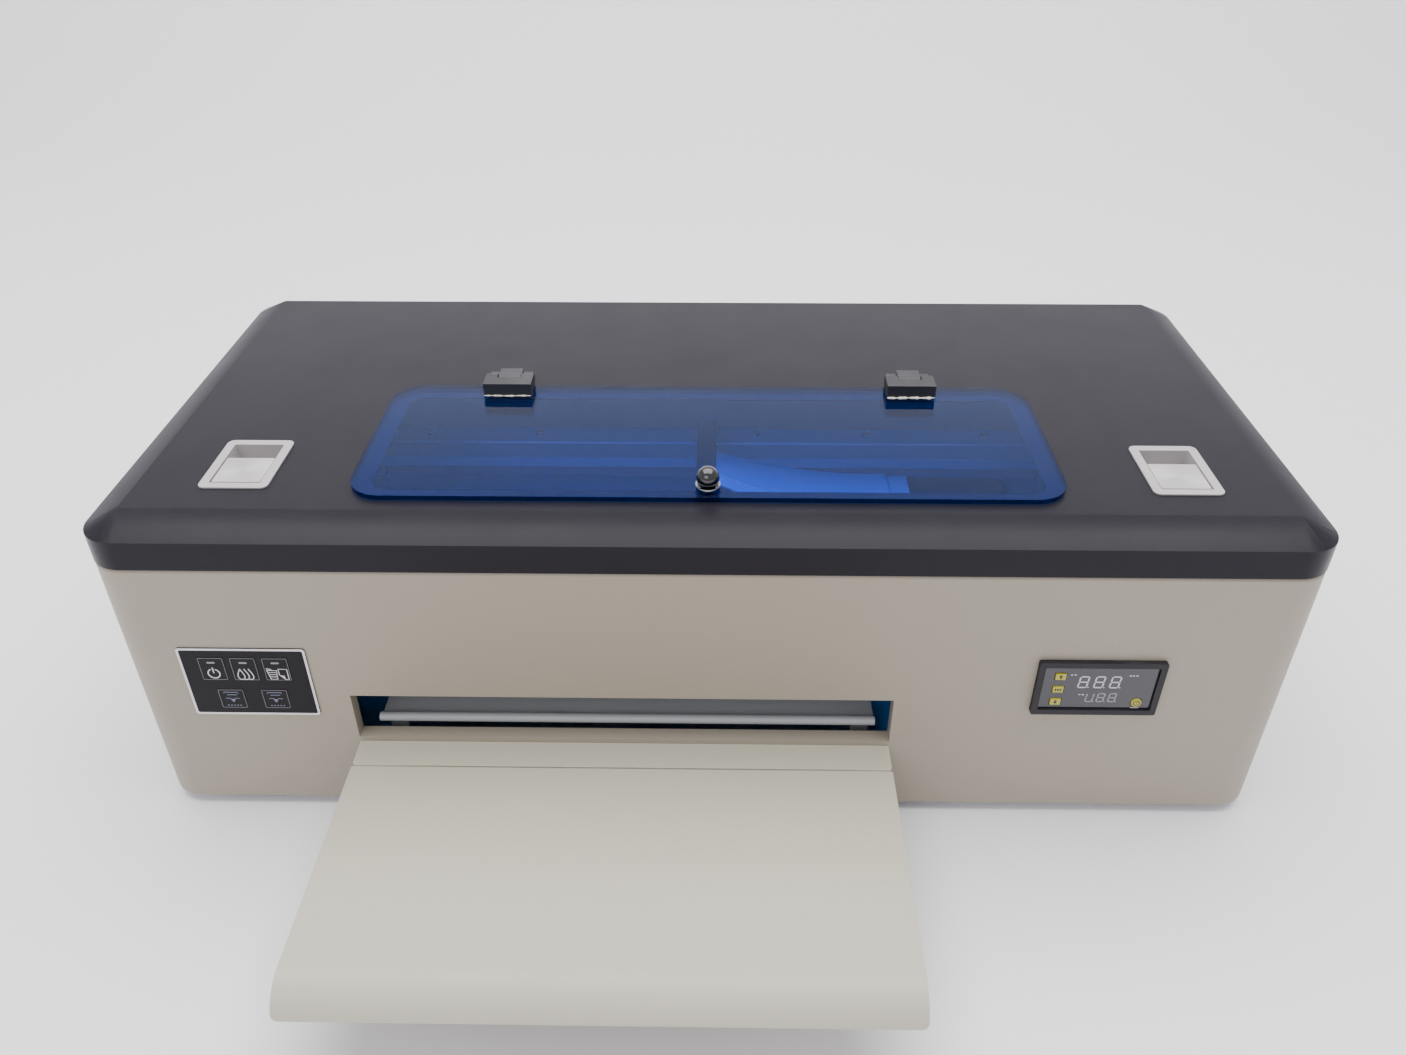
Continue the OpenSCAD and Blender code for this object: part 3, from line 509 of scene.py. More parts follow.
def lathe_mesh(profile, centre, axis="z", seg=48):
    """Revolves (radius, height) round an axis through centre, all in millimetres; height runs along +axis."""
    c = Vector(centre)
    ax = {"z": (Vector((1, 0, 0)), Vector((0, 1, 0)), Vector((0, 0, 1))),
          "-z": (Vector((1, 0, 0)), Vector((0, -1, 0)), Vector((0, 0, -1))),
          "-y": (Vector((1, 0, 0)), Vector((0, 0, 1)), Vector((0, -1, 0))),
          "y": (Vector((-1, 0, 0)), Vector((0, 0, 1)), Vector((0, 1, 0))),
          "x": (Vector((0, 1, 0)), Vector((0, 0, 1)), Vector((1, 0, 0)))}[axis]
    v, f = [], []
    rows = []
    for r, h in profile:
        if r < 1e-6:
            rows.append([len(v)])
            v.append(W(*(c + ax[2] * h)))
        else:
            rows.append(list(range(len(v), len(v) + seg)))
            for k in range(seg):
                a = 2 * math.pi * k / seg
                v.append(W(*(c + ax[0] * (r * math.cos(a)) + ax[1] * (r * math.sin(a)) + ax[2] * h)))
    for a, b in zip(rows, rows[1:]):
        for k in range(seg):
            j = (k + 1) % seg
            if len(a) == 1 and len(b) == 1:
                continue
            if len(a) == 1:
                f.append((a[0], b[k], b[j]))
            elif len(b) == 1:
                f.append((a[k], a[j], b[0]))
            else:
                f.append((a[k], a[j], b[j], b[k]))
    return v, f


def screw_mesh(centre, axis="-y", r=3.0, h=1.6, turn=0.3):
    """A pan head screw with a cross recess."""
    c = Vector(centre)
    ax = {"-y": (Vector((1, 0, 0)), Vector((0, 0, 1)), Vector((0, -1, 0))),
          "y": (Vector((-1, 0, 0)), Vector((0, 0, 1)), Vector((0, 1, 0))),
          "-z": (Vector((1, 0, 0)), Vector((0, -1, 0)), Vector((0, 0, -1))),
          "z": (Vector((1, 0, 0)), Vector((0, 1, 0)), Vector((0, 0, 1)))}[axis]
    n = 24
    w, l = 0.30 * r, 0.62 * r
    cross = []
    for q in range(4):
        a = q * math.pi / 2
        for x, y in ((l, -w / 2), (l, 0), (l, w / 2), (w * 0.9, w / 2), (w / 2, w / 2), (w / 2, w * 0.9)):
            cross.append((x * math.cos(a) - y * math.sin(a), x * math.sin(a) + y * math.cos(a)))
    k0 = 1
    rings = []
    for rad, hh in ((r, 0.0), (r, h * 0.45), (r * 0.93, h * 0.72), (r * 0.78, h * 0.92)):
        rings.append([(rad * math.cos(2 * math.pi * (i - k0) / n), rad * math.sin(2 * math.pi * (i - k0) / n), hh) for i in range(n)])
    rings.append([(x, y, h) for x, y in cross])
    rings.append([(x * 0.85, y * 0.85, h * 0.35) for x, y in cross])
    v, f = [], []
    ct, st = math.cos(turn), math.sin(turn)
    for ring in rings:
        for x, y, z in ring:
            x, y = x * ct - y * st, x * st + y * ct
            v.append(W(*(c + ax[0] * x + ax[1] * y + ax[2] * z)))
    for a in range(len(rings) - 1):
        for i in range(n):
            j = (i + 1) % n
            f.append((a * n + i, a * n + j, (a + 1) * n + j, (a + 1) * n + i))
    f.append(tuple(range(n - 1, -1, -1)))
    f.append(tuple((len(rings) - 1) * n + i for i in range(n)))
    return v, f


# ---------------------------------------------------------------- CAD nodes: materials and softened edges
ROUND = {
    "body_shell": 0.0007, "lid_shell": 0.0007, "output_tray": 0.0004, "tray_bracket": 0.0004, "latch_dishes": 0.0005,
    "latch_paddle_left": 0.0005, "latch_paddle_right": 0.0005, "door_panel": 0.0006, "door_hinge_bases": 0.0006,
    "door_hinge_clamps": 0.0008, "controller_case": 0.0006, "membrane_panel": 0.0002, "power_inlet": 0.0006,
    "rocker_switch": 0.0006, "feet": 0.0010, "carriage_shell": 0.0008, "tube_holder": 0.0005, "tube_bracket": 0.0005,
    "ink_dampers": 0.0006, "main_rail": 0.0004, "side_frames": 0.0004, "base_plate": 0.0003,
    "exit_guide_plate": 0.0003, "rear_feed_guide": 0.0004, "cap_frame": 0.0006, "cap_tray": 0.0006, "tank_caps": 0.0008,
    "ink_tanks": 0.0012, "power_supply": 0.0006, "carriage_motor": 0.0006, "feed_motor": 0.0006, "pinch_arms": 0.0005,
    "lower_hinge_leaves": 0.0004, "upper_hinge_leaves": 0.0004, "print_head": 0.0004, "main_board": 0.0003,
    "power_key": 0.00025, "ink_key": 0.00025, "film_key": 0.00025, "lower_left_key": 0.00025, "lower_right_key": 0.00025,
    "up_key": 0.0004, "set_key": 0.0004, "down_key": 0.0004, "controller_power_key": 0.0004,
}
OWN = {
    "latch_dishes": surface("pressed_steel_dish", "#b8b3b4", 0.38, metallic=0.35, tone=0.03, tone_scale=30, rough_var=0.05, bumps=((900.0, 0.00002, (0.05, 1, 1)),)),
    "main_rail": surface("rail_plate_satin", "#c6cacf", 0.42, metallic=0.2, tone=0.04, tone_scale=20, bumps=((500.0, 0.00002, (0.1, 1, 1)),)),
    "ink_dampers": surface("damper_plastic", "#d5dade", 0.28, tone=0.03, coat=0.3, coat_rough=0.15, bumps=((180.0, 0.00003, (1, 1, 1)),)),
    "exit_guide_plate": surface("guide_plate_satin", "#aaacb1", 0.55, metallic=0.15, tone=0.03, tone_scale=20, rough_var=0.06, bumps=((800.0, 0.00002, (0.1, 1, 1)), (90.0, 0.00004, (1, 1, 1)))),
}
for name, ob in NODES.items():
    mat = OWN.get(name) or M[SLOT[name]]
    ob.data.materials.clear()
    ob.data.materials.append(mat)
    if name in ROUND:
        at = ob.data.attributes.get("custom_normal")
        if at is not None:
            ob.data.attributes.remove(at)
        for p in ob.data.polygons:
            p.use_smooth = True
        soften(ob, ROUND[name])

# ---------------------------------------------------------------- key panel on the left of the front
mp_lo, mp_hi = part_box("membrane_panel")
PX0, PX1 = mp_lo.x * 1000, mp_hi.x * 1000
PZ0, PZ1 = (mp_lo.z - ZC) * 1000, (mp_hi.z - ZC) * 1000
PY = (mp_lo.y - YC) * 1000
v, f = ring_xz(rr(PX0 + 0.05, PX1 - 0.05, PZ0 + 0.05, PZ1 - 0.05, 2.0), rr(PX0 + 1.55, PX1 - 1.55, PZ0 + 1.55, PZ1 - 1.55, 1.2), PY - 0.14, PY + 0.02)
piece("panel_border", v, f, "case", X["border"])


def key_rect(node):
    lo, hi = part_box(node)
    return lo.x * 1000, hi.x * 1000, (lo.z - ZC) * 1000, (hi.z - ZC) * 1000, (lo.y - YC) * 1000


def arc(cx, cz, r, a0, a1, n=24):
    return [(cx + r * math.cos(math.radians(a0 + (a1 - a0) * i / n)), cz + r * math.sin(math.radians(a0 + (a1 - a0) * i / n))) for i in range(n + 1)]


def key_frame(node):
    x0, x1, z0, z1, y = key_rect(node)
    return ring_xz(rr(x0 + 0.10, x1 - 0.10, z0 + 0.10, z1 - 0.10, 0.9), rr(x0 + 0.45, x1 - 0.45, z0 + 0.45, z1 - 0.45, 0.7), y - 0.05, y + 0.03)


KEY_BODY = {n: n for n in ("power_key", "ink_key", "film_key", "lower_left_key", "lower_right_key")}
for node in KEY_BODY:
    v, f = key_frame(node)
    piece(node + "_outline", v, f, node, X["line"])
for node in ("power_key", "ink_key", "film_key"):
    x0, x1, z0, z1, y = key_rect(node)
    cx = (x0 + x1) / 2
    v, f = prism_xz(rr(cx - 2.6, cx + 2.6, z1 - 4.5, z1 - 3.2, 0.6, 4), y - 0.10, y + 0.03)
    piece(node + "_light", v, f, node, X["led"])
# power mark
x0, x1, z0, z1, y = key_rect("power_key")
cx, cz = (x0 + x1) / 2, z1 - 12.9
parts = [stroke_xz(arc(cx, cz, 3.7, 112, 428), 0.72, y - 0.08, y + 0.02), stroke_xz([(cx, cz + 0.4), (cx, cz + 4.9)], 0.72, y - 0.08, y + 0.02)]
v, f = merge(parts)
piece("power_mark", v, f, "power_key", X["icon"])
# three drops
x0, x1, z0, z1, y = key_rect("ink_key")
cx, cz = (x0 + x1) / 2, z1 - 13.2


def drop(dx, a0=0.0, a1=1.0):
    pts = []
    for i in range(int(40 * a0), int(40 * a1) + 1):
        t = 2 * math.pi * i / 40
        r = 3.0 * math.sin(t / 2) ** 1.5
        pts.append((cx + dx + r * math.sin(t) * 1.0 + 0.0, cz + 4.4 * math.cos(t) * 1.0))
    return pts


parts = [stroke_xz(drop(-3.2), 0.6, y - 0.08, y + 0.02), stroke_xz(drop(-0.4, 0.0, 0.62), 0.6, y - 0.08, y + 0.02), stroke_xz(drop(2.4, 0.0, 0.62), 0.6, y - 0.08, y + 0.02)]
v, f = merge(parts)
piece("drops_mark", v, f, "ink_key", X["icon"])
# roll and sheet mark
x0, x1, z0, z1, y = key_rect("film_key")
cx, cz = (x0 + x1) / 2, z1 - 13.0
a, b = y - 0.08, y + 0.02
parts = [stroke_xz([(cx - 6.4, cz + 3.6), (cx - 5.0, cz - 4.2), (cx - 0.9, cz - 4.2), (cx - 0.2, cz + 3.0), (cx - 6.2, cz + 3.2)], 0.55, a, b)]
for k in range(3):
    parts.append(stroke_xz([(cx - 5.4 + 0.2 * k, cz + 1.4 - 1.8 * k), (cx - 1.0, cz + 1.4 - 1.8 * k)], 0.45, a, b))
parts.append(stroke_xz([(cx - 6.6, cz + 4.6), (cx - 3.4, cz + 3.9)], 0.5, a, b))
parts.append(stroke_xz([(cx + 1.0, cz - 0.6), (cx + 0.9, cz + 4.2), (cx + 6.4, cz + 4.2), (cx + 6.4, cz - 4.3), (cx + 4.2, cz - 4.3), (cx + 1.0, cz - 0.6)], 0.55, a, b))
parts.append(prism_xz([(cx + 1.4, cz - 0.9), (cx + 4.0, cz - 1.3), (cx + 4.2, cz - 4.0)], a, b))
v, f = merge(parts)
piece("film_mark", v, f, "film_key", X["icon"])
# faint marks on the two lower keys: an arrow over a bar
for node, s in (("lower_left_key", 1), ("lower_right_key", -1)):
    x0, x1, z0, z1, y = key_rect(node)
    cx, cz = (x0 + x1) / 2, (z0 + z1) / 2
    a, b = y - 0.08, y + 0.02
    parts = [stroke_xz([(cx - 4.6, cz + 4.4), (cx - 4.6, cz + 5.6), (cx + 4.4, cz + 5.6), (cx + 4.4, cz + 4.4)], 0.5, a, b),
             stroke_xz([(cx - 3.0, cz + 3.4), (cx + 3.4, cz + 3.4)], 0.5, a, b),
             stroke_xz([(cx - 4.4, cz + 0.4), (cx - 1.0, cz + 0.4)], 0.45, a, b),
             stroke_xz([(cx + 1.4, cz + 0.4), (cx + 4.4, cz + 0.4)], 0.45, a, b),
             prism_xz([(cx - 1.4 * s, cz - 0.2), (cx + 1.8 * s, cz - 0.2), (cx + 0.2 * s, cz - 3.2)], a, b)]
    for k in range(5):
        parts.append(prism_xz(rr(cx - 4.4 + k * 2.0, cx - 3.4 + k * 2.0, cz - 6.0, cz - 5.2, 0.2, 2), a, b))
    v, f = merge(parts)
    piece(node + "_mark", v, f, node, X["icon_dim"])

# ---------------------------------------------------------------- heater controller on the right of the front
cc_lo, cc_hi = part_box("controller_case")
CX0, CX1 = cc_lo.x * 1000, cc_hi.x * 1000
CZ0, CZ1 = (cc_lo.z - ZC) * 1000, (cc_hi.z - ZC) * 1000
LY = FRONT - 1.8                                  # recessed face


def hole_lens():
    """The dark window: a plate in the recess with clear room round the keys."""
    bm = bmesh.new()
    me = bpy.data.meshes.new("lens")
    outer = rr(CX0 + 4.35, CX1 - 4.35, CZ0 + 4.35, CZ1 - 4.35, 0.6, 3)
    holes = []
    for node in ("up_key", "set_key", "down_key"):
        x0, x1, z0, z1, _ = key_rect(node)
        holes.append(rr(x0 - 0.5, x1 + 0.5, z0 - 0.5, z1 + 0.5, 0.9, 3))
    x0, x1, z0, z1, _ = key_rect("controller_power_key")
    holes.append([(p[0], p[1]) for p in arc((x0 + x1) / 2, (z0 + z1) / 2, (x1 - x0) / 2 + 0.5, 0, 360, 32)[:-1]])
    cu = bpy.data.curves.new("lens", "CURVE")
    cu.dimensions = "2D"
    cu.fill_mode = "BOTH"
    for loop in [outer] + holes:
        sp = cu.splines.new("POLY")
        sp.points.add(len(loop) - 1)
        for pt, (x, z) in zip(sp.points, loop):
            pt.co = (x, z, 0, 1)
        sp.use_cyclic_u = True
    cu.extrude = 0.12
    tmp = bpy.data.objects.new("tmp", cu)
    bpy.context.scene.collection.objects.link(tmp)
    bpy.context.view_layer.update()
    me = bpy.data.meshes.new_from_object(tmp.evaluated_get(bpy.context.evaluated_depsgraph_get()))
    vs = [W(p.co.x, LY - 0.14 - p.co.z, p.co.y) for p in me.vertices]
    fs = [tuple(q.vertices) for q in me.polygons]
    bpy.data.objects.remove(tmp)
    return vs, fs


v, f = hole_lens()
piece("controller_lens", v, f, "case", X["lens"])
DY = LY - 0.26                                    # face of the lens


def seven(cx, cz, w, h, t, slant, only=None, dot=True):
    """Seven bars and a dot, as flat hexagons."""
    seg = {"a": ((0, 1), (1, 1)), "b": ((1, 1), (1, .5)), "c": ((1, .5), (1, 0)), "d": ((0, 0), (1, 0)), "e": ((0, 0), (0, .5)), "f": ((0, .5), (0, 1)), "g": ((0, .5), (1, .5))}
    polys = []
    for k, (p, q) in seg.items():
        if only and k not in only:
            continue
        ax, az = (p[0] - .5) * w, (p[1] - .5) * h
        bx, bz = (q[0] - .5) * w, (q[1] - .5) * h
        L = math.hypot(bx - ax, bz - az)
        ux, uz = (bx - ax) / L, (bz - az) / L
        nx, nz = -uz, ux
        g = t * 0.18
        pts = [(g, 0), (g + t / 2, t / 2), (L - g - t / 2, t / 2), (L - g, 0), (L - g - t / 2, -t / 2), (g + t / 2, -t / 2)]
        poly = [(ax + ux * s + nx * r, az + uz * s + nz * r) for s, r in pts]
        polys.append([(cx + x + z * slant, cz + z) for x, z in poly])
    parts = [prism_xz(p, DY - 0.06, DY + 0.03) for p in polys]
    if dot:
        parts.append(prism_xz([(cx + w * 0.5 + t * 1.2 - h / 2 * slant + dx, cz - h / 2 + dz) for dx, dz in arc(0, 0, t * 0.5, 0, 360, 10)[:-1]], DY - 0.06, DY + 0.03))
    return parts


parts = []
for u in (29.6, 39.5, 49.4):
    parts += seven(CX0 + u, CZ1 - 16.5, 5.4, 8.9, 0.95, 0.09)
v, f = merge(parts)
piece("controller_digits_large", v, f, "case", X["digit"])
parts = []
for u, only in ((35.6, "bcdef"), (42.6, None), (49.8, None)):
    parts += seven(CX0 + u, CZ1 - 29.4, 4.2, 6.8, 0.8, 0.09, only)
v, f = merge(parts)
piece("controller_digits_small", v, f, "case", X["digit_dim"])
parts = []
for u, w_, h_ in ((20.6, 1.4, 10.2), (22.8, 1.6, 10.2), (28.2, 1.3, 26.6), (30.2, 1.6, 26.6), (57.0, 1.6, 10.6), (59.0, 1.4, 10.6), (61.0, 1.6, 10.6)):
    parts.append(prism_xz(rr(CX0 + u, CX0 + u + w_, CZ1 - h_ - 0.8, CZ1 - h_, 0.2, 2), DY - 0.05, DY + 0.03))
parts.append(prism_xz(rr(CX0 + 62.8, CX0 + 68.4, CZ1 - 38.1, CZ1 - 37.6, 0.2, 2), DY - 0.05, DY + 0.03))
v, f = merge(parts)
piece("controller_small_bars", v, f, "case", X["digit"])
# marks on its keys
x0, x1, z0, z1, y = key_rect("up_key")
cx, cz = (x0 + x1) / 2, (z0 + z1) / 2
v, f = merge([prism_xz([(cx - 1.5, cz + 0.1), (cx, cz + 1.7), (cx + 1.5, cz + 0.1)], y - 0.07, y + 0.02), prism_xz([(cx - 0.6, cz - 1.5), (cx + 0.6, cz - 1.5), (cx + 0.6, cz + 0.12), (cx - 0.6, cz + 0.12)], y - 0.07, y + 0.02)])
piece("up_mark", v, f, "up_key", X["mark"])
x0, x1, z0, z1, y = key_rect("down_key")
cx, cz = (x0 + x1) / 2, (z0 + z1) / 2
v, f = merge([prism_xz([(cx - 1.5, cz - 0.1), (cx + 1.5, cz - 0.1), (cx, cz - 1.7)], y - 0.07, y + 0.02), prism_xz([(cx - 0.6, cz - 0.12), (cx + 0.6, cz - 0.12), (cx + 0.6, cz + 1.5), (cx - 0.6, cz + 1.5)], y - 0.07, y + 0.02)])
piece("down_mark", v, f, "down_key", X["mark"])
x0, x1, z0, z1, y = key_rect("set_key")
cx, cz = (x0 + x1) / 2, (z0 + z1) / 2
v, f = merge([prism_xz(rr(cx - 2.2 + 1.6 * k, cx - 1.1 + 1.6 * k, cz - 0.9, cz + 0.9, 0.2, 2), y - 0.07, y + 0.02) for k in range(3)])
piece("set_mark", v, f, "set_key", X["mark"])
x0, x1, z0, z1, y = key_rect("controller_power_key")
cx, cz = (x0 + x1) / 2, (z0 + z1) / 2
v, f = merge([ring_xz(arc(cx, cz, 2.2, 0, 360, 32)[:-1], arc(cx, cz, 1.55, 0, 360, 32)[:-1], y - 0.07, y + 0.02),
              prism_xz([(cx - 0.28, cz - 0.2), (cx + 0.28, cz - 0.2), (cx + 0.28, cz + 1.0), (cx - 0.28, cz + 1.0)], y - 0.07, y + 0.02)])
piece("round_key_mark", v, f, "controller_power_key", X["mark"])

# ---------------------------------------------------------------- window door: knob, glue
kn_lo, kn_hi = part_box("knob")
KX, KY = (kn_lo.x + kn_hi.x) / 2 * 1000, ((kn_lo.y + kn_hi.y) / 2 - YC) * 1000
dp_lo, dp_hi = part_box("door_panel")
DZ = (dp_hi.z - ZC) * 1000
v, f = lathe_mesh([(3.75, 0.05), (6.9, 0.05), (7.4, 0.3), (7.65, 1.2), (7.75, 2.6), (7.6, 3.0), (7.2, 3.1), (6.6, 2.8), (5.2, 1.8), (3.75, 1.5), (3.75, 0.05)], (KX, KY, DZ), "z", 64)
piece("knob_base_ring", v, f, "window_door", X["chrome"], smooth=True, sharp=50)


def glue_bead(x_mid, half, y, z, size, seed):
    """An uneven bead of clear glue along the front foot of a hinge block."""
    pts = []
    n = 46
    for i in range(n + 1):
        t = i / n
        x = x_mid - half + 2 * half * t
        pts.append((x, y - 0.25 - 0.35 * size * math.sin(7.1 * t + seed) * math.sin(3.3 * t + 2 * seed), z + 0.25))

    def rad(t):
        return size * (0.85 + 0.30 * math.sin(23 * t + seed) + 0.22 * math.sin(51 * t + 2.1 * seed)) * min(1.0, 8 * t + 0.35, 8 * (1 - t) + 0.35)
    return tube_mesh(pts, rad, 14, (1.0, 0.6))


ch_lo, ch_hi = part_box("door_hinge_clamps")
CHY = (ch_lo.y - YC) * 1000
HX = ch_hi.x * 1000 - 16.5
for side, size, seed in ((-1, 0.75, 1.3), (1, 1.25, 0.4)):
    v, f = glue_bead(side * HX, 16.3, CHY, DZ, size, seed)
    piece("hinge_glue_" + ("left" if side < 0 else "right"), v, f, "window_door", X["glue"], smooth=True, sharp=80)
# screws through the hinge blocks' fixed leaves, seen from behind
parts = []
for side in (-1, 1):
    for dx in (-10.5, 10.5):
        parts.append(screw_mesh((side * HX + dx, 10.0, TOP + 5.0), "y", 2.2, 1.1, 0.5 + dx))
v, f = merge(parts)
piece("door_hinge_screws", v, f, "lid", X["screw"], smooth=True, sharp=30)

# ---------------------------------------------------------------- lid hinges: screw heads
parts = []
for side in (-1, 1):
    for dx in (-20, 20):
        parts.append(screw_mesh((side * 250 + dx, (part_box("upper_hinge_leaves")[1].y - YC) * 1000 - 6.7, 205), "y", 3.0, 1.4, 0.9 * dx))
parts_lo = []
hs_lo, hs_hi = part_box("hinge_screws")
for side in (-1, 1):
    for dx in (-20, 20):
        c = (side * 250 + dx, (hs_hi.y - YC) * 1000 - 1.4, 172)
        parts_lo.append(screw_mesh(c, "y", 3.0, 1.4, 0.4 * dx))
        parts_lo.append(lathe_mesh([(0, 0), (1.5, 0), (1.5, 7), (0, 7)], (c[0], c[1] - 7.2, 172), "y", 20))
v, f = merge(parts)
piece("upper_hinge_screws", v, f, "lid", X["screw"], smooth=True, sharp=30)
v, f = merge(parts_lo)
ob = piece("lower_hinge_screws", v, f, "case", X["screw"], smooth=True, sharp=30)
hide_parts("hinge_screws")

# ---------------------------------------------------------------- under the window: rail screws, encoder strip, cable, tubes
mr_lo, mr_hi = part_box("main_rail")
RZ = 150.0
parts = [screw_mesh(c, "z", 3.4, 2.0, 0.3 * i) for i, c in enumerate(((-134, 65, RZ), (35.5, 65, RZ), (122.6, 65, RZ), (-220, 65, RZ), (215, 65, RZ)))]
v, f = merge(parts)
piece("rail_screws", v, f, "case", X["screw"], smooth=True, sharp=30)
v, f = blk(-252, 252, 32.4, 32.8, 131.4, 140.6)
parts = [(v, f), blk(-258, -250, 30.5, 34, 130.6, 141.4), blk(250, 258, 30.5, 34, 130.6, 141.4)]
v, f = merge(parts)
piece("encoder_strip", v, f, "case", X["strip"], bevel=0.0001, segs=1)

# folded sheet over the film path, fixed behind the front wall above the slot
HOOD = [(-172.5, 108.0), (-172.5, 93.6), (-148.0, 93.6), (-72.0, 80.0), (-70.0, 74.5), (-69.0, 74.5),
        (-71.2, 81.0), (-148.0, 94.6), (-171.5, 94.6), (-171.5, 108.0)]
v = [W(x, y, z) for x in (-246.0, 138.0) for y, z in HOOD]
n = len(HOOD)
f = [tuple(range(n - 1, -1, -1)), tuple(range(n, 2 * n))]
f += [(i, (i + 1) % n, n + (i + 1) % n, n + i) for i in range(n)]
v, f = merge([(v, f), blk(-246, -245, -171.5, -74, 40, 79), blk(137, 138, -171.5, -74, 40, 79),
              blk(-246, -245, -171.5, -149, 79, 93.8), blk(137, 138, -171.5, -149, 79, 93.8)])
piece("film_hood", v, f, "case", M["zinc_sheet"], bevel=0.0002, segs=1)
v, f = blk(134, 147.5, -52, 13.5, 143.0, 144.6)
piece("tube_holder_cap", v, f, "carriage", M["white_plastic"], bevel=0.0004)

tb_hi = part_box("tube_bracket")[1].x * 1000
th_lo, th_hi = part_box("tube_holder")
TX = (th_lo.x * 1000)


def sag(t, z0=164.6, z1=143.6, depth=10.4):
    return z0 + (z1 - z0) * t - depth * 4 * t * (1 - t) * 0.6


def cable_strip():
    """A white flat cable that sags between the fixed bracket and the carriage, its front edge hanging lower."""
    nx, ny = 48, 24
    v, f = [], []
    for i in range(nx + 1):
        t = i / nx
        x = tb_hi - 6 + (TX + 10 - tb_hi) * t
        for layer in (0, 1):
            for j in range(ny + 1):
                s = j / ny
                y = 15.5 - 28.5 * s
                hang = 4 * t * (1 - t)
                z = sag(t) - hang * 9.0 * s * s - 0.12 * (j % 2) + layer * 1.1 + 0.35
                v.append(W(x, y - hang * 2.5 * s, z))
    row = 2 * (ny + 1)
    for i in range(nx):
        for j in range(ny):
            a = i * row + j
            f.append((a, a + 1, a + row + 1, a + row))
            b = a + ny + 1
            f.append((b, b + row, b + row + 1, b + 1))
        a, b = i * row, i * row + ny + 1
        f.append((a, a + row, b + row, b))
        a, b = i * row + ny, i * row + 2 * ny + 1
        f.append((a, b, b + row, a + row))
    for i in (0, nx):
        for j in range(ny):
            a = i * row + j
            q = (a, a + ny + 1, a + ny + 2, a + 1)
            f.append(q if i == 0 else q[::-1])
    return v, f


v, f = cable_strip()
cable = piece("flat_cable", v, f, "case", M["cable"], smooth=True, sharp=50, ride=False)
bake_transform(cable)
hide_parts("ribbon_loop")
parts = []
for k in range(6):
    y = -15.6 - 2.6 * k
    pts = [(tb_hi - 4, y, 162.5), (tb_hi + 4, y, 162.0)]
    pts += [(tb_hi + 4 + (TX + 2 - tb_hi) * t, y - 1.5 * math.sin(math.pi * t), sag(t) - 3.5 - 1.2 * math.sin(math.pi * t) * (1 + 0.25 * k)) for t in (0.15, 0.3, 0.45, 0.6, 0.75, 0.9)]
    pts += [(TX + 8, y, 141.0)]
    parts.append(tube_mesh(smooth_path(pts, 6), 1.15, 10))
v, f = merge(parts)
tubes = piece("ink_tube_row", v, f, "case", X["tube"], smooth=True, sharp=60, ride=False)
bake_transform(tubes)
# clips that hold the tubes at both ends
v, f = merge([blk(tb_hi - 9, tb_hi - 3, -31, -12.3, 160.0, 165.9), blk(tb_hi - 9, tb_hi - 3, -12.3, 14, 163.4, 165.9)])
piece("tube_clip_fixed", v, f, "case", M["white_plastic"], bevel=0.0006)
v, f = merge([blk(TX + 6, TX + 12, -31, -14.2, 137.5, 143.6)])
piece("tube_clip_carriage", v, f, "carriage", M["white_plastic"], bevel=0.0006)
# short tubes from the carriage clip into the dampers
dm_lo, dm_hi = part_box("ink_dampers")
parts = []
for i in range(6):
    nx_ = 158.5 + i * 11.4
    y = -15.6 - 2.6 * i
    top = 140 + 1.1 * i
    pts = [(TX + 10, y, 141.0), (TX + 18, y, 142.0 + 0.4 * i), ((TX + nx_) / 2 + 8, (y - 22) / 2, top + 4), (nx_ - 2, -22, top - 1), (nx_, -22, 133), (nx_, -22, 128.4)]
    parts.append(tube_mesh(smooth_path(pts, 7), 1.15, 10))
v, f = merge(parts)
piece("damper_tubes", v, f, "carriage", X["tube"], smooth=True, sharp=60)
pts = [(158, -30, 130), (160, -30, 139), (170, -29, 147), (183, -28.5, 150), (196, -29, 147), (205.5, -30, 139), (207, -30, 130)]
v, f = merge([tube_mesh(smooth_path(pts, 8), 2.1, 14)])
piece("carriage_tube_arc", v, f, "carriage", X["tube"], smooth=True, sharp=60)
parts = []
for i in range(6):
    nx_ = 158.5 + i * 11.4
    parts.append(lathe_mesh([(2.65, 0), (3.3, 0.2), (3.3, 2.2), (2.2, 3.2), (1.3, 5.6), (0, 5.6)], (nx_, -22, 129.0), "z", 20))
v, f = merge(parts)
piece("damper_collars", v, f, "carriage", M["black_plastic"], smooth=True, sharp=40)
parts = []
for i in range(4):
    parts.append(blk(214.6 + i * 3.0, 216.6 + i * 3.0, -31, -25, 130.2, 141.5 - (i % 2) * 2.4))
parts.append(blk(213.4, 226.0, -32, -24, 129.4, 133.0))
v, f = merge(parts)
piece("carriage_connector", v, f, "carriage", M["white_plastic"], bevel=0.0004)

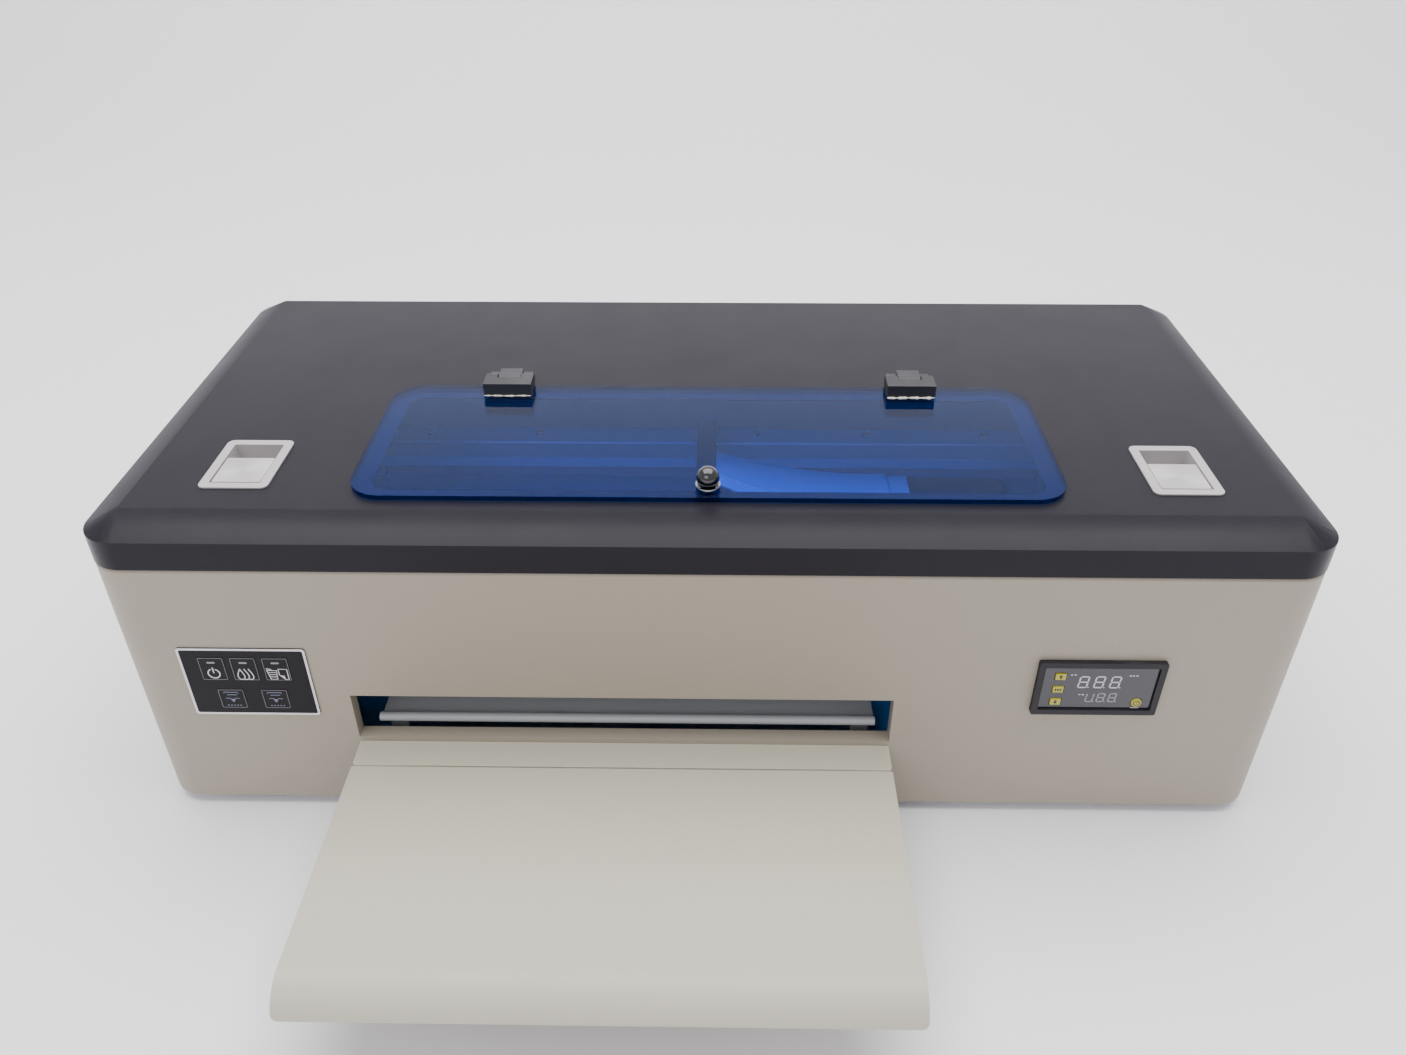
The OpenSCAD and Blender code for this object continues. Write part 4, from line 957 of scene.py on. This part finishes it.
# ---------------------------------------------------------------- rear: inlet pins, foot screws
parts = [blk(-335.9, -334.1, 162, 173, 36.5, 41.5), blk(-325.9, -324.1, 162, 173, 36.5, 41.5), blk(-331.9, -328.1, 162, 174, 44.2, 46.2)]
v, f = merge(parts)
piece("inlet_pins", v, f, "case", X["contact"], bevel=0.0004)
parts = [screw_mesh((i * 330, j * 140, -4.4), "-z", 3.6, 1.8, 0.5 * i + j) for i in (-1, 1) for j in (-1, 1)]
v, f = merge(parts)
piece("foot_screws", v, f, "case", X["screw"], smooth=True, sharp=30)

# ---------------------------------------------------------------- stage and light
def stage():
    y_back, r = 2.2, 0.9
    prof = [(-4.0, 0.0), (-1.0, 0.0), (y_back - r, 0.0)]
    prof += [(y_back - r + r * math.sin(a), r - r * math.cos(a)) for a in (math.radians(10 * k) for k in range(1, 10))]
    prof += [(y_back, 3.5)]
    xs = [-4.5, -2, 0, 2, 4.5]
    v = [(x, y, z) for y, z in prof for x in xs]
    n = len(xs)
    f = [(i * n + j, i * n + j + 1, (i + 1) * n + j + 1, (i + 1) * n + j) for i in range(len(prof) - 1) for j in range(n - 1)]
    me = bpy.data.meshes.new("stage_floor")
    me.from_pydata(v, [], f)
    for p in me.polygons:
        p.use_smooth = True
    ob = bpy.data.objects.new("stage_floor", me)
    bpy.context.scene.collection.objects.link(ob)
    me.materials.append(surface("stage_pale", "#f0eef2", 0.7, tone=0.01, tone_scale=2, spec=0.2))


stage()


def area(name, loc, look, size, power, colour=(1, 1, 1)):
    d = bpy.data.lights.new(name, "AREA")
    d.shape = "RECTANGLE"
    d.size, d.size_y = size
    d.energy = power
    d.color = colour
    ob = bpy.data.objects.new(name, d)
    ob.location = loc
    ob.rotation_euler = (Vector(look) - Vector(loc)).to_track_quat("-Z", "Y").to_euler()
    bpy.context.scene.collection.objects.link(ob)


area("ceiling", (0.0, 0.3, 2.3), (0, 0.0, 0), (3.2, 2.2), 112, (1.0, 0.995, 0.985))
area("front_fill", (-0.8, -2.4, 1.7), (0, 0, 0.1), (1.6, 1.2), 20, (1.0, 0.98, 0.96))
w = bpy.data.worlds.new("studio")
w.use_nodes = True
bg = w.node_tree.nodes["Background"]
bg.inputs["Color"].default_value = (0.92, 0.93, 0.96, 1)
bg.inputs["Strength"].default_value = 0.96
bpy.context.scene.world = w
